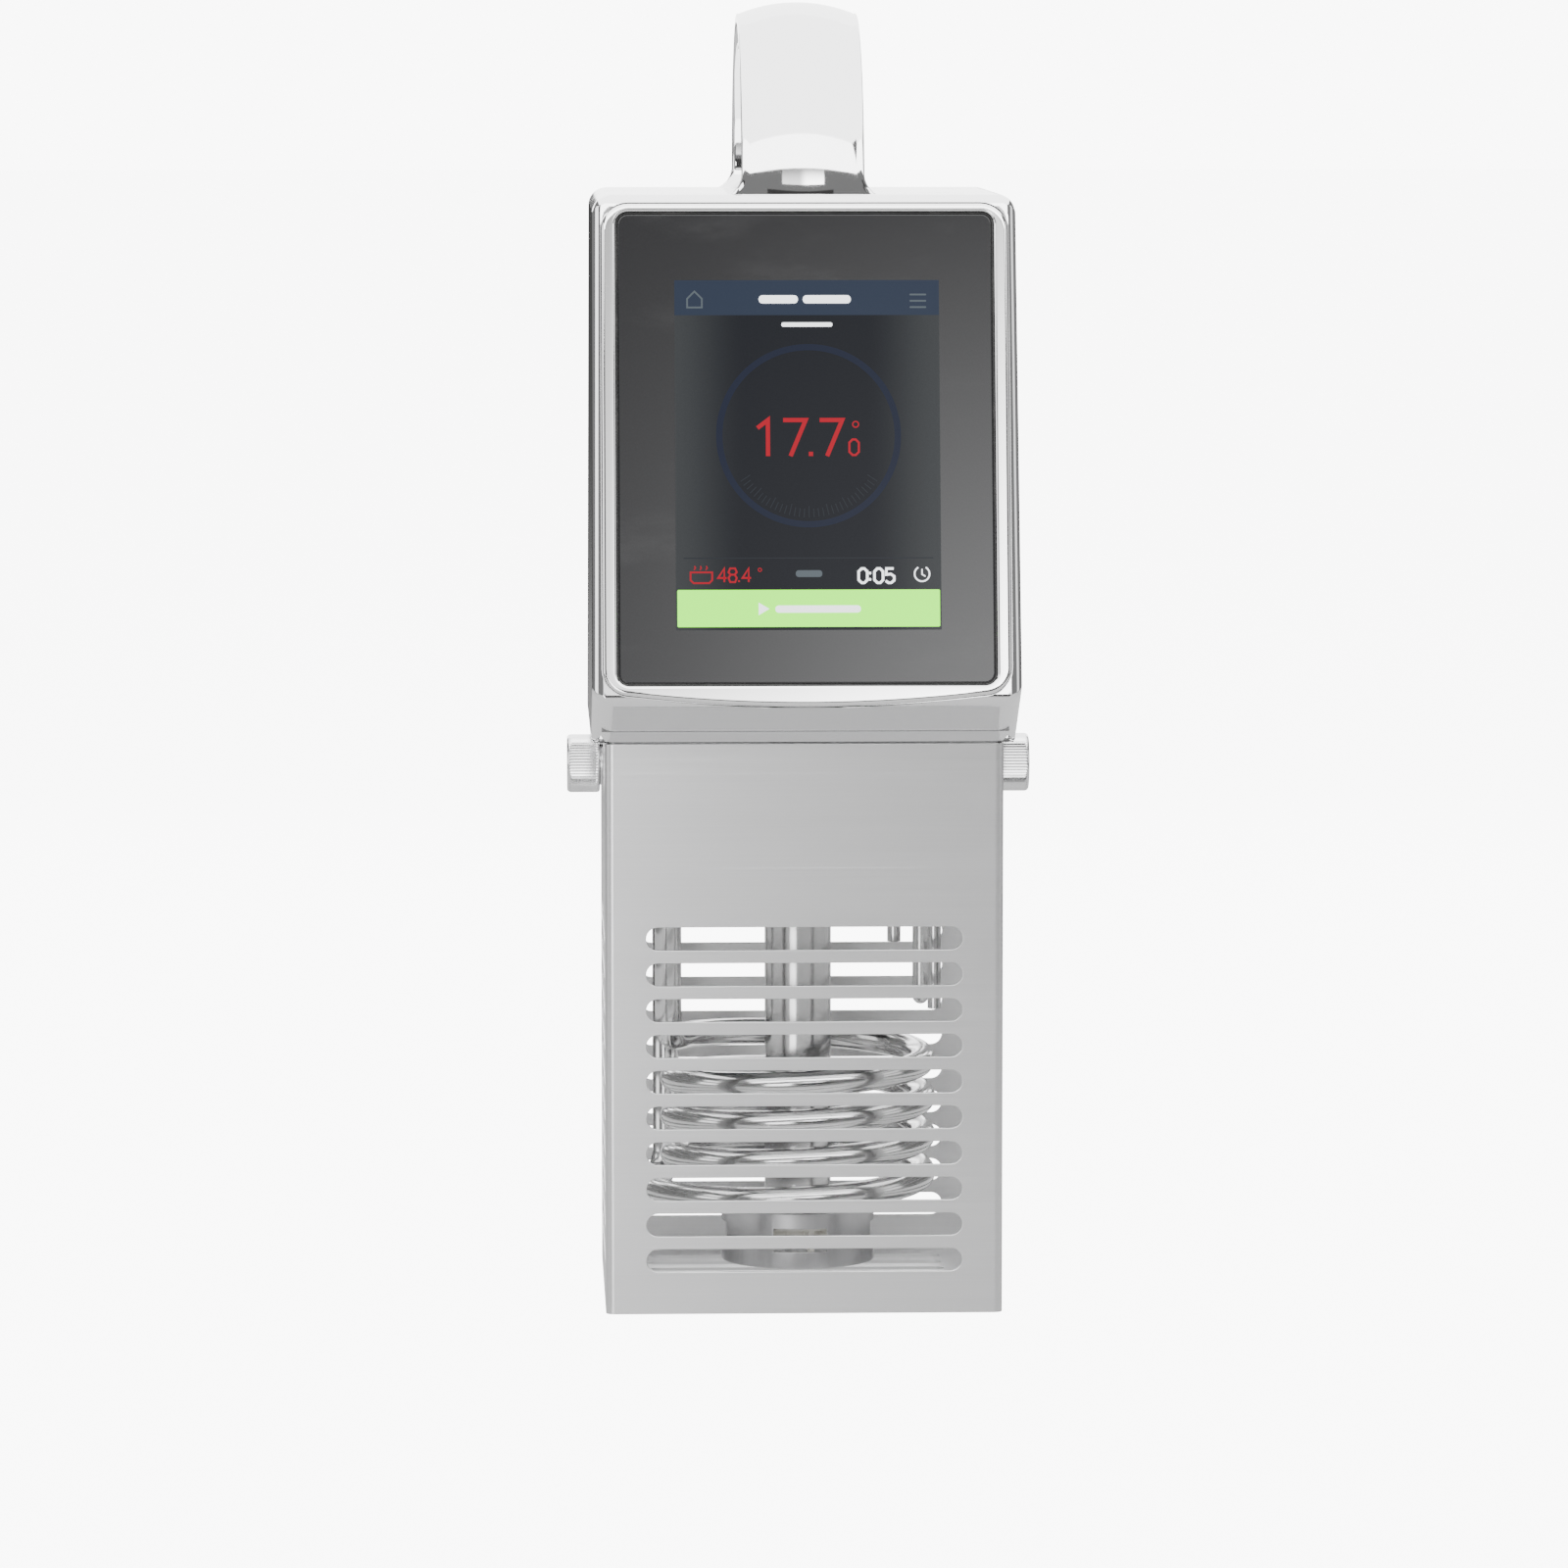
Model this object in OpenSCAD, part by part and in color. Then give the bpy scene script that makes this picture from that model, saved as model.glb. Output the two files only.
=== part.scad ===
// Immersion circulator for sous vide cooking, in millimetres.
// +Z is up, the screen faces -Y, and the origin is the centre of the guard's base.

/* [Guard] */
// Width of the guard across X
guard_w = 117; // [100:1:145]
// Depth of the guard along Y
guard_d = 110; // [95:1:135]
// Height of the guard
guard_h = 168.7; // [145:0.1:205]
// Thickness of the guard's sheet
guard_t = 1.2; // [0.8:0.1:1.6]
// Outer bend radius of the guard's corners
guard_r = 2.5; // [2:0.1:4]
// Number of slots one above the other in each wall
slot_count = 10; // [6:1:12]
// Distance from one slot to the next
slot_pitch = 10.6; // [9:0.1:12.8]
// Height of each slot
slot_w = 6.8; // [4:0.1:8]
// Height of the lowest slot's centre
slot_z = 15.9; // [12:0.1:20]
// Plain sheet left at each end of a slot
slot_margin = 12; // [9:0.5:16]

/* [Head] */
// Width of the head
head_w = 125; // [122:1:150]
// Height of the head without its handle
head_h = 160; // [150:1:192]
// How far the foot of the screen stands out in front of the guard
nose = 24; // [20:1:29]
// How far the head stands out behind the guard
tail = 14; // [12:0.5:17]
// Height of the sloping chin under the screen
chin_h = 13.5; // [11:0.5:16.2]
// Lean of the screen from the vertical, in degrees
lean = 11; // [9:0.5:13.2]
// Wall of the cast shell
shell_t = 3; // [2.5:0.1:3.6]
// Gap between the head and the guard
seat_gap = 0.3; // [0.2:0.1:1]

/* [Handle] */
// Height of the handle above the head
handle_h = 56; // [47:1:67]
// Width of the handle strap
handle_w = 36; // [30:1:43]
// Thickness of the strap at its middle
handle_t = 7; // [6:0.5:8.4]
// How much the strap's outer face is crowned
crown = 3.7; // [1:0.1:4.4]

/* [Screen] */
// Width of the touch glass
glass_w = 109; // [95:1:110]
// Height of the touch glass
glass_h = 137.5; // [120:0.5:138]
// Thickness of the touch glass
glass_t = 3; // [2.5:0.1:3.6]
// Width of the lit area
display_w = 77; // [64:1:92]
// Height of the lit area
display_h = 102.4; // [85:0.1:122]
// Width of the polished bezel at the sides of the glass
bezel_side = 4.85; // [4:0.05:4.9]

/* [Pump] */
// Diameter of the drive shaft
shaft_d = 8; // [6:0.5:9.6]
// Diameter of the motor
motor_d = 64; // [53:1:72]
// Length of the motor
motor_l = 66; // [55:1:79]
// Outer diameter of the tube round the shaft
tube_d = 20; // [18:1:24]
// Diameter of the impeller
impeller_d = 40; // [33:1:46]
// Running clearance on radius where something turns or slides
run = 0.05; // [0.02:0.01:0.09]

/* [Heater] */
// Radius of the coil at the middle of its tube
coil_r = 37.5; // [34:0.5:40]
// Diameter of the heater tube
heater_d = 8; // [6.5:0.1:8.5]
// Whole turns in the coil
coil_turns = 4; // [3:1:5]
// Rise from one turn to the next
coil_pitch = 11.5; // [9.6:0.1:13.8]
// Height of the coil's lowest point at its middle line
coil_z = 27; // [25:0.5:32]

/* [Thumb screws] */
// Diameter of the knurled head
thumb_d = 17.4; // [14.5:0.1:20.8]
// Length of the knurled head
thumb_l = 9.8; // [8:0.1:11.8]
// Diameter of the thread
thumb_thread = 6; // [5:0.5:7]
// Depth of the screw's centre below the guard's top edge
thumb_drop = 10.7; // [9:0.1:12]

/* [Wall clamp] */
// Gap between the guard and the clamp bracket
jaw = 23; // [20:0.5:28]
// Width of the clamp bracket
bracket_w = 50; // [42:1:60]
// Thickness of the clamp bracket
bracket_t = 3; // [2.5:0.1:3.6]
// Diameter of the clamp spindle
spindle_d = 10; // [8.5:0.5:12]
// Diameter of the clamp pad
pad_d = 26; // [22:1:31]
// Inward travel of the clamp pad from where it rests
pad_in = 8.5; // [7:0.1:10.2]

/* [Hidden] */
$fn = 64;
eps = 0.01;
fit = 0.25;

// Head and its side profile, as points (y, z) that run anticlockwise from the chin's lower edge
head_z = guard_h + seat_gap;
head_top = head_z + head_h;
front_y = -guard_d / 2;
foot = [front_y - nose, head_z + chin_h];
rear_y = guard_d / 2 + tail;
face_top_y = foot[0] + (head_top - foot[1]) * tan(lean);
face_l = (head_top - foot[1]) / cos(lean);
side_profile = [[front_y, head_z], [rear_y, head_z], [rear_y, head_top], [face_top_y, head_top], foot];
side_radii = [1, 2, 7, 4, 2];
side_w = head_w / 2;
inner_w = side_w - shell_t;
strap_front_r = 60 * handle_h / 56;
strap_mid = face_top_y + 4.5 + strap_front_r;
strap_rear_r = min(handle_h - 6, rear_y - 5 - strap_mid);
handle_screw_r = 1.6;
handle_screw_l = 9;
front_wall = 6;

// Screen: heights along the leaning face from the foot, and depths along its normal
glass_v = 6;
bezel_low = -0.7;
bezel_top = 3.2;
bezel_r = 8;
bezel_bow = 440;
bezel_t = 3;
bezel_proud = 0.8;
seal_t = 0.6;
chamfer = 0.9;
window_gap = 1;
bracket_sheet = 1.5;
display_rim = 2;
display_t = 3.4;
display_mid = glass_v + glass_h / 2 - 0.7;
panel_w = display_w + 2 * display_rim;
panel_h = display_h + 2 * display_rim;

// Base of the head
plate_t = 2.5;
gasket_t = 1.5;
ledge_t = 4;
plate_top = head_z + plate_t;
ledge_z = plate_top + gasket_t;
plate_x = inner_w - fit;
plate_y = [front_y + shell_t / sin(atan2(chin_h, nose)) + fit, rear_y - shell_t - fit];
base_screw_r = 1.7;
base_hole_r = base_screw_r + 0.5;
base_screw_y = [-guard_d / 2 + 9, 0, guard_d / 2 - 9];
opening_y = [plate_y[0] + 2.5, rear_y - 15];

// Guard and collar
collar_x = guard_w / 2 - guard_t - fit;
collar_y = guard_d / 2 - guard_t - fit;
collar_t = 1.5;
collar_h = 19;
base_screw_x = collar_x - collar_t - 4.9;
opening_x = base_screw_x - 4.6;
fitting_x = opening_x - 7;
thumb_z = guard_h - thumb_drop;
boss_r = thumb_thread / 2 + 3;
boss_l = 10;
washer_t = 0.8;
washer_gap = 0.05;
washer_d = thumb_d * 0.75;
knurls = 60;
knurl_r = 0.28;
thumb_in = guard_w / 2 + 2 * washer_gap + washer_t;

// Shaft line, from the bottom up
impeller_z = 12;
impeller_h = 9;
pump_z = impeller_z - 4;
pump_top = impeller_z + impeller_h + 2;
pump_t = 1.5;
pump_r = impeller_d / 2 + 3;
bush_z = pump_top + pump_t;
bush_h = 8;
tube_t = 1.5;
motor_z = head_z + 26;
motor_can_t = 2;
bearing_d = shaft_d + 11;
bearing_h = 6;
post_r = 3;
post_ring = motor_d / 2 - 2;
shaft_top = motor_z + motor_l - motor_can_t - 1;

// Heater: start and end angles, and the two risers
riser_r = coil_r + 1.5;
return_x = -fitting_x;
return_y = guard_d / 2 - 15;
return_angle = atan2(return_y, return_x);
return_r = norm([return_x, return_y]);
coil_wind = 360 * coil_turns + 180 - return_angle;
coil_top = coil_z + coil_pitch * coil_wind / 360;
ring_step = 15;
heater_end = plate_top + 14;
nut_h = 6;

// Probes
probe_d = 5;
probe_at = [fitting_x, guard_d / 2 - 16];
level_d = 4;
level_at = [fitting_x, -guard_d / 2 + 17];
level_step = 12;

// Electronics
board_t = 1.6;
spacer_l = 6;
board_x = -inner_w + spacer_l;
board_y = [-8, rear_y - 23];
board_z = [head_z + 62, head_top - 26];
sink_x = inner_w - 0.02;

// Rear cover
cover_t = 1.2;
cover_seal = 0.6;
cover_w = head_w - 16;
cover_z = [head_z + 9, head_top - 9];
cover_h = cover_z[1] - cover_z[0];
cover_lip = 5;
screw_hole_r = 1.3;
cover_out = rear_y - cover_t;
fan_w = 40;
fan_t = 10;
fan_z = head_top - 42;
fan_face = cover_out - 0.02;
switch_x = -26;
gland_x = 26;
service_z = head_z + 34;
switch_w = 13;
switch_h = 19;
rocker_tip = 8;
gland_r = 10;
cord_bore_r = 4.6;
gland_l = 16;

// Wall clamp
bracket_in = guard_d / 2 + jaw;
bracket_out = bracket_in + bracket_t;
bracket_z = head_z - 45;
spindle_z = head_z - 30;
boss_len = 6;
facing_t = 2;
pad_t = 3;
pad_rest = guard_d / 2 + pad_in + 3.5;
clamp_knob_d = 30;
clamp_knob_l = 14;
clamp_knob_in = bracket_out + boss_len + pad_in + 1;
bracket_hole_x = 17;
bracket_hole_y = rear_y - 8;

// ---- Shared shapes ----

// Corner i of a convex outline moved inwards by its own distance from each of its two edges
function inset_corner(pts, gaps, i) =
    let (n = len(pts), a = pts[(i + n - 1) % n], b = pts[i], c = pts[(i + 1) % n],
        u = (b - a) / norm(b - a), v = (c - b) / norm(c - b),
        p = [-u[1], u[0]], q = [-v[1], v[0]], d = p * q,
        g = gaps[(i + n - 1) % n], h = gaps[i])
    b + ((g - h * d) * p + (h - g * d) * q) / (1 - d * d);

// Convex outline moved inwards, with gaps[i] for the edge that starts at point i
function inset(pts, gaps) = [for (i = [0:len(pts) - 1]) inset_corner(pts, gaps, i)];

// Points of an arc
function arc(centre, r, from, to, steps = 8) =
    [for (i = [0:steps]) centre + r * [cos(from + (to - from) * i / steps), sin(from + (to - from) * i / steps)]];

// Convex outline with each corner rounded to its own radius
function rounded(pts, radii) = [for (i = [0:len(pts) - 1])
    let (n = len(pts), a = pts[(i + n - 1) % n], b = pts[i], c = pts[(i + 1) % n], r = radii[i],
        u = (b - a) / norm(b - a), v = (c - b) / norm(c - b),
        half = acos(u * v) / 2, centre = b + r / cos(half) * ((v - u) / norm(v - u)),
        start = atan2(-u[0], u[1]))
    each arc(centre, r, start, start + 2 * half, 6)];

module rounded_rect(w, h, r) {
    square([w - 2 * r, h], center = true);
    square([w, h - 2 * r], center = true);
    for (x = [-1, 1], y = [-1, 1]) translate([x * (w / 2 - r), y * (h / 2 - r)]) circle(r);
}

module slot_2d(l, w) {
    square([l - w, w], center = true);
    for (x = [-1, 1]) translate([x * (l - w) / 2, 0]) circle(w / 2, $fn = 24);
}

module block(x, y, z) {
    translate([x[0], y[0], z[0]]) cube([x[1] - x[0], y[1] - y[0], z[1] - z[0]]);
}

module tube(r_out, r_in, h) {
    difference() {
        cylinder(r = r_out, h = h);
        translate([0, 0, -eps]) cylinder(r = r_in, h = h + 2 * eps);
    }
}

module hexagon(across, h) {
    cylinder(r = across / sqrt(3), h = h, $fn = 6);
}

// Turns a shape drawn along +Z to point along +Y
module along_y() {
    rotate([-90, 0, 0]) children();
}

// Turns a shape drawn along +Z to point outwards along X, on the side given by -1 or 1
module along_x(side) {
    rotate([0, side * 90, 0]) children();
}

// Places children on the leaning face: x across, y up the face from its foot, z out of it
module on_face() {
    translate([0, foot[0], foot[1]]) rotate([90 - lean, 0, 0]) children();
}

// Extrudes a side outline, drawn as (y, z), across X to both sides
module across(half) {
    translate([-half, 0, 0]) rotate([90, 0, 90]) linear_extrude(2 * half) children();
}

// Pan-head screw with its head's underside at z = 0 and its shank upwards
module screw(r, l, head_r, head_h) {
    cylinder(r = r, h = l, $fn = 24);
    difference() {
        translate([0, 0, -head_h]) cylinder(r = head_r, h = head_h, $fn = 32);
        translate([0, 0, -head_h - eps]) hexagon(r * 1.5, head_h * 0.6);
    }
}

// ---- Casing ----

// Outline of the bezel, anticlockwise: bowed lower edge, right side, top, left side
function bezel_outline(grow) =
    let (w = glass_w / 2 + bezel_side + grow, r = bezel_r + grow, top = glass_v + glass_h + bezel_top + grow,
        low = bezel_low - grow, c = w - r, rise = bezel_bow - sqrt(bezel_bow * bezel_bow - c * c),
        swing = asin(c / bezel_bow))
    concat(
        arc([0, low + bezel_bow], bezel_bow, 270 - swing, 270 + swing, 12),
        arc([c, low + rise + r], r, 275, 360),
        arc([c, top - r], r, 0, 90),
        arc([-c, top - r], r, 90, 180),
        arc([-c, low + rise + r], r, 180, 265));

module glass_outline(grow) {
    translate([0, glass_v + glass_h / 2]) rounded_rect(glass_w + 2 * grow, glass_h + 2 * grow, 3 + grow);
}

// Strap section: radial distance along x, width along y, with the crown outwards
module strap_section(r) {
    bow = (handle_w * handle_w / 4 + crown * crown) / (2 * crown);
    half = asin(handle_w / 2 / bow);
    inner = r - handle_t;
    polygon(concat(arc([r - bow, 0], bow, -half, half, 14), [[inner, handle_w / 2], [inner, -handle_w / 2]]));
}

module strap_turn(r, from, centre) {
    translate([0, centre[0], centre[1]]) rotate([0, 90, 0]) rotate([0, 0, from])
        rotate_extrude(angle = 90) strap_section(r);
}

module handle() {
    top = head_top + handle_h;
    color("gainsboro") difference() {
        union() {
            strap_turn(strap_front_r, 180, [strap_mid, top - strap_front_r]);
            strap_turn(strap_rear_r, 90, [strap_mid, top - strap_rear_r]);
            translate([0, strap_mid, head_top]) rotate([0, 0, 90])
                linear_extrude(top - strap_rear_r - head_top) strap_section(strap_rear_r);
        }
        block([-handle_w, handle_w], [strap_mid - 2 * strap_front_r, strap_mid], [head_top - 20, head_top + 0.02]);
        handle_screw_places() cylinder(r = handle_screw_r + 0.02, h = handle_screw_l + 0.2);
    }
}

// Undersides of the handle's screw heads, inside the shell's roof
module handle_screw_places() {
    for (x = [-1, 1], y = [strap_mid - strap_front_r + 5, strap_mid + strap_rear_r - 3.9])
        translate([x * handle_w / 4, y, head_top - shell_t]) children();
}

module handle_screws() {
    color("silver") handle_screw_places() translate([0, 0, -0.02]) screw(handle_screw_r, handle_screw_l, 3, 2);
}

module shell_outside() {
    intersection() {
        across(side_w) polygon(rounded(side_profile, side_radii));
        translate([0, rear_y + 1, head_z + (head_h - 20) / 2]) rotate([90, 0, 0])
            linear_extrude(rear_y - foot[0] + 2) rounded_rect(head_w, head_h + 20, 5);
        translate([0, (foot[0] + rear_y) / 2, head_z - 1]) linear_extrude(head_h + 2)
            rounded_rect(head_w, rear_y - foot[0], 4);
    }
}

module shell_cavity() {
    gaps = [-1, shell_t, shell_t, front_wall, shell_t];
    across(inner_w) polygon(inset(side_profile, gaps));
}

module base_ledge() {
    difference() {
        block([-side_w, side_w], [foot[0], rear_y], [ledge_z, ledge_z + ledge_t]);
        block([-opening_x, opening_x], opening_y, [ledge_z - 1, ledge_z + ledge_t + 1]);
        base_holes(base_screw_r + 0.02);
    }
}

module base_holes(r) {
    for (x = [-1, 1], y = base_screw_y)
        translate([x * base_screw_x, y, head_z - 1]) cylinder(r = r, h = ledge_t + 20);
    for (x = [-1, 1])
        translate([x * bracket_hole_x, bracket_hole_y, head_z - 5]) cylinder(r = r, h = ledge_t + 20);
}

module head_shell() {
    color("gainsboro") difference() {
        shell_outside();
        difference() {
            shell_cavity();
            base_ledge();
        }
        on_face() {
            translate([0, 0, -bezel_t + bezel_proud]) linear_extrude(10) polygon(bezel_outline(fit));
            translate([0, 0, -front_wall * 2]) linear_extrude(20) glass_outline(window_gap);
        }
        rear_recess(cover_w, cover_h, 10, rear_y - cover_t - cover_seal);
        rear_recess(cover_w - 2 * cover_lip, cover_h - 2 * cover_lip, 10, rear_y - 2 * shell_t);
        cover_holes(screw_hole_r, 2 * shell_t);
        handle_screw_places() translate([0, 0, -1]) cylinder(r = handle_screw_r + 0.3, h = shell_t + 2);
    }
}

// Cut of a rounded rectangle into the rear wall from depth y outwards
module rear_recess(w, h, l, y) {
    translate([0, y, (cover_z[0] + cover_z[1]) / 2]) along_y() linear_extrude(l) rounded_rect(w, h, 4);
}

module front_bezel() {
    color("silver") on_face() translate([0, 0, -bezel_t + bezel_proud + 0.02]) difference() {
        linear_extrude(bezel_t - 0.02) polygon(bezel_outline(0));
        translate([0, 0, -1]) linear_extrude(bezel_t + 2) glass_outline(seal_t + 0.02);
        translate([0, 0, bezel_t - bezel_proud]) linear_extrude(2) glass_outline(chamfer + seal_t);
    }
}

module glass_gasket() {
    color([0.12, 0.12, 0.12]) on_face() translate([0, 0, -glass_t]) linear_extrude(glass_t - 0.15)
        difference() {
            glass_outline(seal_t);
            glass_outline(0.02);
        }
}

module touch_glass() {
    color([0.1, 0.1, 0.12, 0.9]) on_face() translate([0, 0, -glass_t]) linear_extrude(glass_t)
        glass_outline(0);
}

module display_panel() {
    color("darkslategray") on_face() translate([0, display_mid, -glass_t - 0.05 - display_t])
        linear_extrude(display_t) rounded_rect(panel_w, panel_h, 1.5);
}

module display_bracket() {
    color("lightgray") on_face() difference() {
        union() {
            translate([0, (face_l - 2) / 2, -front_wall - bracket_sheet - 0.05])
                linear_extrude(bracket_sheet) rounded_rect(2 * inner_w - 2, face_l - 8, 3);
            translate([0, 0, -front_wall - 0.1]) linear_extrude(front_wall - glass_t + 0.05)
                glass_outline(-0.5);
            for (x = [-1, 1], y = [-1, 1])
                translate([x * (panel_w / 2 + 5), display_mid + y * (panel_h / 2 - 8), -front_wall - 5])
                    cylinder(r = 3, h = 5);
        }
        translate([0, display_mid, -20]) linear_extrude(40) rounded_rect(panel_w + 0.4, panel_h + 0.4, 1.5);
        bracket_holes(1.4);
    }
}

module bracket_holes(r) {
    for (x = [-1, 1], y = [0.12, 0.5, 0.88])
        translate([x * (inner_w - 3), face_l * y, -front_wall - 3]) cylinder(r = r, h = 6, $fn = 24);
}

module display_screws() {
    color("silver") on_face() for (x = [-1, 1], y = [0.12, 0.5, 0.88])
        translate([x * (inner_w - 3), face_l * y, -front_wall - bracket_sheet - 0.1])
            screw(1.35, bracket_sheet, 2, 1.5);
}

module control_board() {
    color("seagreen") on_face() translate([0, display_mid, -front_wall - 5 - board_t - 0.05])
        linear_extrude(board_t) rounded_rect(panel_w + 18, panel_h - 4, 2);
}

module rear_cover() {
    color("dimgray") difference() {
        rear_recess(cover_w - 2 * fit, cover_h - 2 * fit, cover_t, cover_out);
        translate([0, cover_out - 1, fan_z]) along_y() for (i = [-3:3])
            translate([0, i * 5, 0]) linear_extrude(5)
                slot_2d(2 * sqrt(pow(fan_w / 2 - 1, 2) - pow(i * 5, 2)), 2.6);
        block([switch_x - switch_w / 2 - fit, switch_x + switch_w / 2 + fit], [cover_out - 1, rear_y + 1],
            [service_z - switch_h / 2 - fit, service_z + switch_h / 2 + fit]);
        translate([gland_x, cover_out - 1, service_z]) along_y() cylinder(r = gland_r - 3.8, h = 5);
        cover_holes(screw_hole_r, 5);
    }
}

// Screws of the rear cover, in its rim
module cover_places() {
    for (x = [-1, 1], z = [0, 0.5, 1])
        translate([x * (cover_w / 2 - cover_lip / 2), rear_y, cover_z[0] + 7 + (cover_h - 14) * z])
            children();
}

module cover_holes(r, l) {
    cover_places() translate([0, -l + 1, 0]) along_y() cylinder(r = r, h = l, $fn = 24);
}

module rear_gasket() {
    color([0.15, 0.15, 0.15]) difference() {
        rear_recess(cover_w - 2 * fit, cover_h - 2 * fit, cover_seal, cover_out - cover_seal);
        rear_recess(cover_w - 2 * cover_lip, cover_h - 2 * cover_lip, 5, cover_out - 3);
        cover_holes(screw_hole_r, 6);
    }
}

module rear_cover_screws() {
    color("silver") cover_places() translate([0, 0.02, 0]) rotate([90, 0, 0])
        screw(screw_hole_r - 0.1, cover_t + cover_seal, 2.2, 1.3);
}

// ---- Base of the head ----

module base_plate() {
    color("silver") difference() {
        block([-plate_x, plate_x], plate_y, [head_z, plate_top]);
        base_holes(base_hole_r);
        translate([0, 0, head_z - 1]) cylinder(r = tube_d / 2 - tube_t - 1, h = plate_t + 2);
        fitting_places() translate([0, 0, head_z - 1]) cylinder(r = heater_d / 2 + 0.1, h = plate_t + 2);
        translate([probe_at[0], probe_at[1], head_z - 1]) cylinder(r = probe_d / 2 + 0.1, h = plate_t + 2);
        level_places() translate([0, 0, head_z - 1]) cylinder(r = level_d / 2 + 1, h = plate_t + 2);
    }
}

module base_gasket() {
    color([0.15, 0.15, 0.15]) difference() {
        block([-plate_x, plate_x], plate_y, [plate_top, ledge_z]);
        block([-opening_x, opening_x], opening_y, [plate_top - 1, ledge_z + 1]);
        base_holes(base_hole_r);
    }
}

module base_screws() {
    color("silver") for (x = [-1, 1], y = base_screw_y)
        translate([x * base_screw_x, y, head_z]) screw(base_screw_r, plate_t + gasket_t + 3, 3, 2);
}

module guard_collar() {
    color("silver") difference() {
        union() {
            translate([0, 0, head_z - collar_h]) linear_extrude(collar_h) difference() {
                rounded_rect(2 * collar_x, 2 * collar_y, guard_r - guard_t);
                rounded_rect(2 * (collar_x - collar_t), 2 * (collar_y - collar_t), 0.5);
            }
            for (s = [-1, 1]) translate([s * (collar_x - collar_t - boss_l), 0, thumb_z]) along_x(s)
                cylinder(r = boss_r, h = boss_l + collar_t / 2);
        }
        for (s = [-1, 1]) translate([s * (collar_x - boss_l - 5), 0, thumb_z]) along_x(s)
            cylinder(r = thumb_thread / 2 + run, h = boss_l + 10);
    }
}

// ---- Guard ----

module guard_slots() {
    front_l = guard_w - 2 * slot_margin;
    side_l = guard_d - 2 * slot_margin;
    for (i = [0:slot_count - 1]) translate([0, 0, slot_z + i * slot_pitch]) {
        translate([0, guard_d / 2 + 1, 0]) rotate([90, 0, 0]) linear_extrude(guard_d + 2)
            slot_2d(front_l, slot_w);
        translate([-guard_w / 2 - 1, 0, 0]) rotate([90, 0, 90]) linear_extrude(guard_w + 2)
            slot_2d(side_l, slot_w);
    }
}

module guard_shell() {
    notch = thumb_thread + 0.8;
    color("silver") difference() {
        linear_extrude(guard_h) difference() {
            rounded_rect(guard_w, guard_d, guard_r);
            rounded_rect(guard_w - 2 * guard_t, guard_d - 2 * guard_t, guard_r - guard_t);
        }
        guard_slots();
        block([-guard_w, guard_w], [-notch / 2, notch / 2], [thumb_z, guard_h + 1]);
        translate([-guard_w, 0, thumb_z]) rotate([0, 90, 0]) cylinder(r = notch / 2, h = 2 * guard_w);
        for (x = [-1, 1], y = [-1, 1]) translate([x * (guard_w / 2 - 0.5), y * (guard_d / 2 - 0.5), guard_h])
            cube([2.6, 2.6, 4], center = true);
    }
}

module guard_base() {
    inner = [guard_w - 2 * guard_t - 0.04, guard_d - 2 * guard_t - 0.04];
    rows = floor((inner[1] / 2 - 4) / 12);
    color("silver") difference() {
        linear_extrude(guard_t + 0.3) rounded_rect(inner[0], inner[1], guard_r - guard_t);
        for (i = [-rows + 0.5:rows]) translate([0, i * 12, -1]) linear_extrude(5) slot_2d(inner[0] - 24, 6);
    }
}

module thumb_screw(side) {
    translate([side * thumb_in, 0, thumb_z]) along_x(side) {
        difference() {
            union() {
                cylinder(r1 = thumb_d / 2 - 0.6, r2 = thumb_d / 2, h = 0.6);
                translate([0, 0, 0.6]) cylinder(r = thumb_d / 2, h = thumb_l - 1.2);
                translate([0, 0, thumb_l - 0.6]) cylinder(r1 = thumb_d / 2, r2 = thumb_d / 2 - 0.6, h = 0.6);
            }
            for (i = [0:knurls - 1]) rotate(i * 360 / knurls)
                translate([thumb_d / 2 + knurl_r * 0.3, 0, 0.8]) cylinder(r = knurl_r * 1.2, h = thumb_l - 1.6, $fn = 4);
        }
        translate([0, 0, -thumb_in + collar_x - collar_t - boss_l + 0.5])
            cylinder(r = thumb_thread / 2, h = thumb_in - collar_x + collar_t + boss_l - 0.5);
    }
}

module thumb_washer(side) {
    translate([side * (guard_w / 2 + washer_gap), 0, thumb_z]) along_x(side)
        tube(washer_d / 2, thumb_thread / 2 + run, washer_t);
}

module thumb_screw_left() { color("silver") thumb_screw(-1); }
module thumb_screw_right() { color("silver") thumb_screw(1); }
module thumb_washer_left() { color("gray") thumb_washer(-1); }
module thumb_washer_right() { color("gray") thumb_washer(1); }

// ---- Motor and pump ----

module motor_bracket() {
    color("lightgray") {
        for (a = [45:90:315]) rotate(a) translate([post_ring, 0, plate_top])
            cylinder(r = post_r, h = motor_z - 3 - plate_top);
        translate([0, 0, motor_z - 3]) tube(motor_d / 2 + 2, shaft_d / 2 + 3, 3);
    }
}

module motor_can() {
    color("dimgray") difference() {
        translate([0, 0, motor_z]) cylinder(r = motor_d / 2, h = motor_l);
        translate([0, 0, motor_z + motor_can_t])
            cylinder(r = motor_d / 2 - motor_can_t, h = motor_l - 2 * motor_can_t);
        translate([0, 0, motor_z - 1]) cylinder(r = shaft_d / 2 + 1, h = 5);
    }
}

module motor_stator() {
    color("peru") translate([0, 0, motor_z + 15]) difference() {
        tube(motor_d / 2 - motor_can_t - 0.1, motor_d / 4 + 0.6, motor_l - 30);
        for (a = [0:60:300]) rotate(a) translate([motor_d * 0.37, 0, -1]) cylinder(r = 4, h = motor_l);
    }
}

module motor_rotor() {
    color("silver") translate([0, 0, motor_z + 14]) tube(motor_d / 4, shaft_d / 2, motor_l - 28);
}

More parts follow.
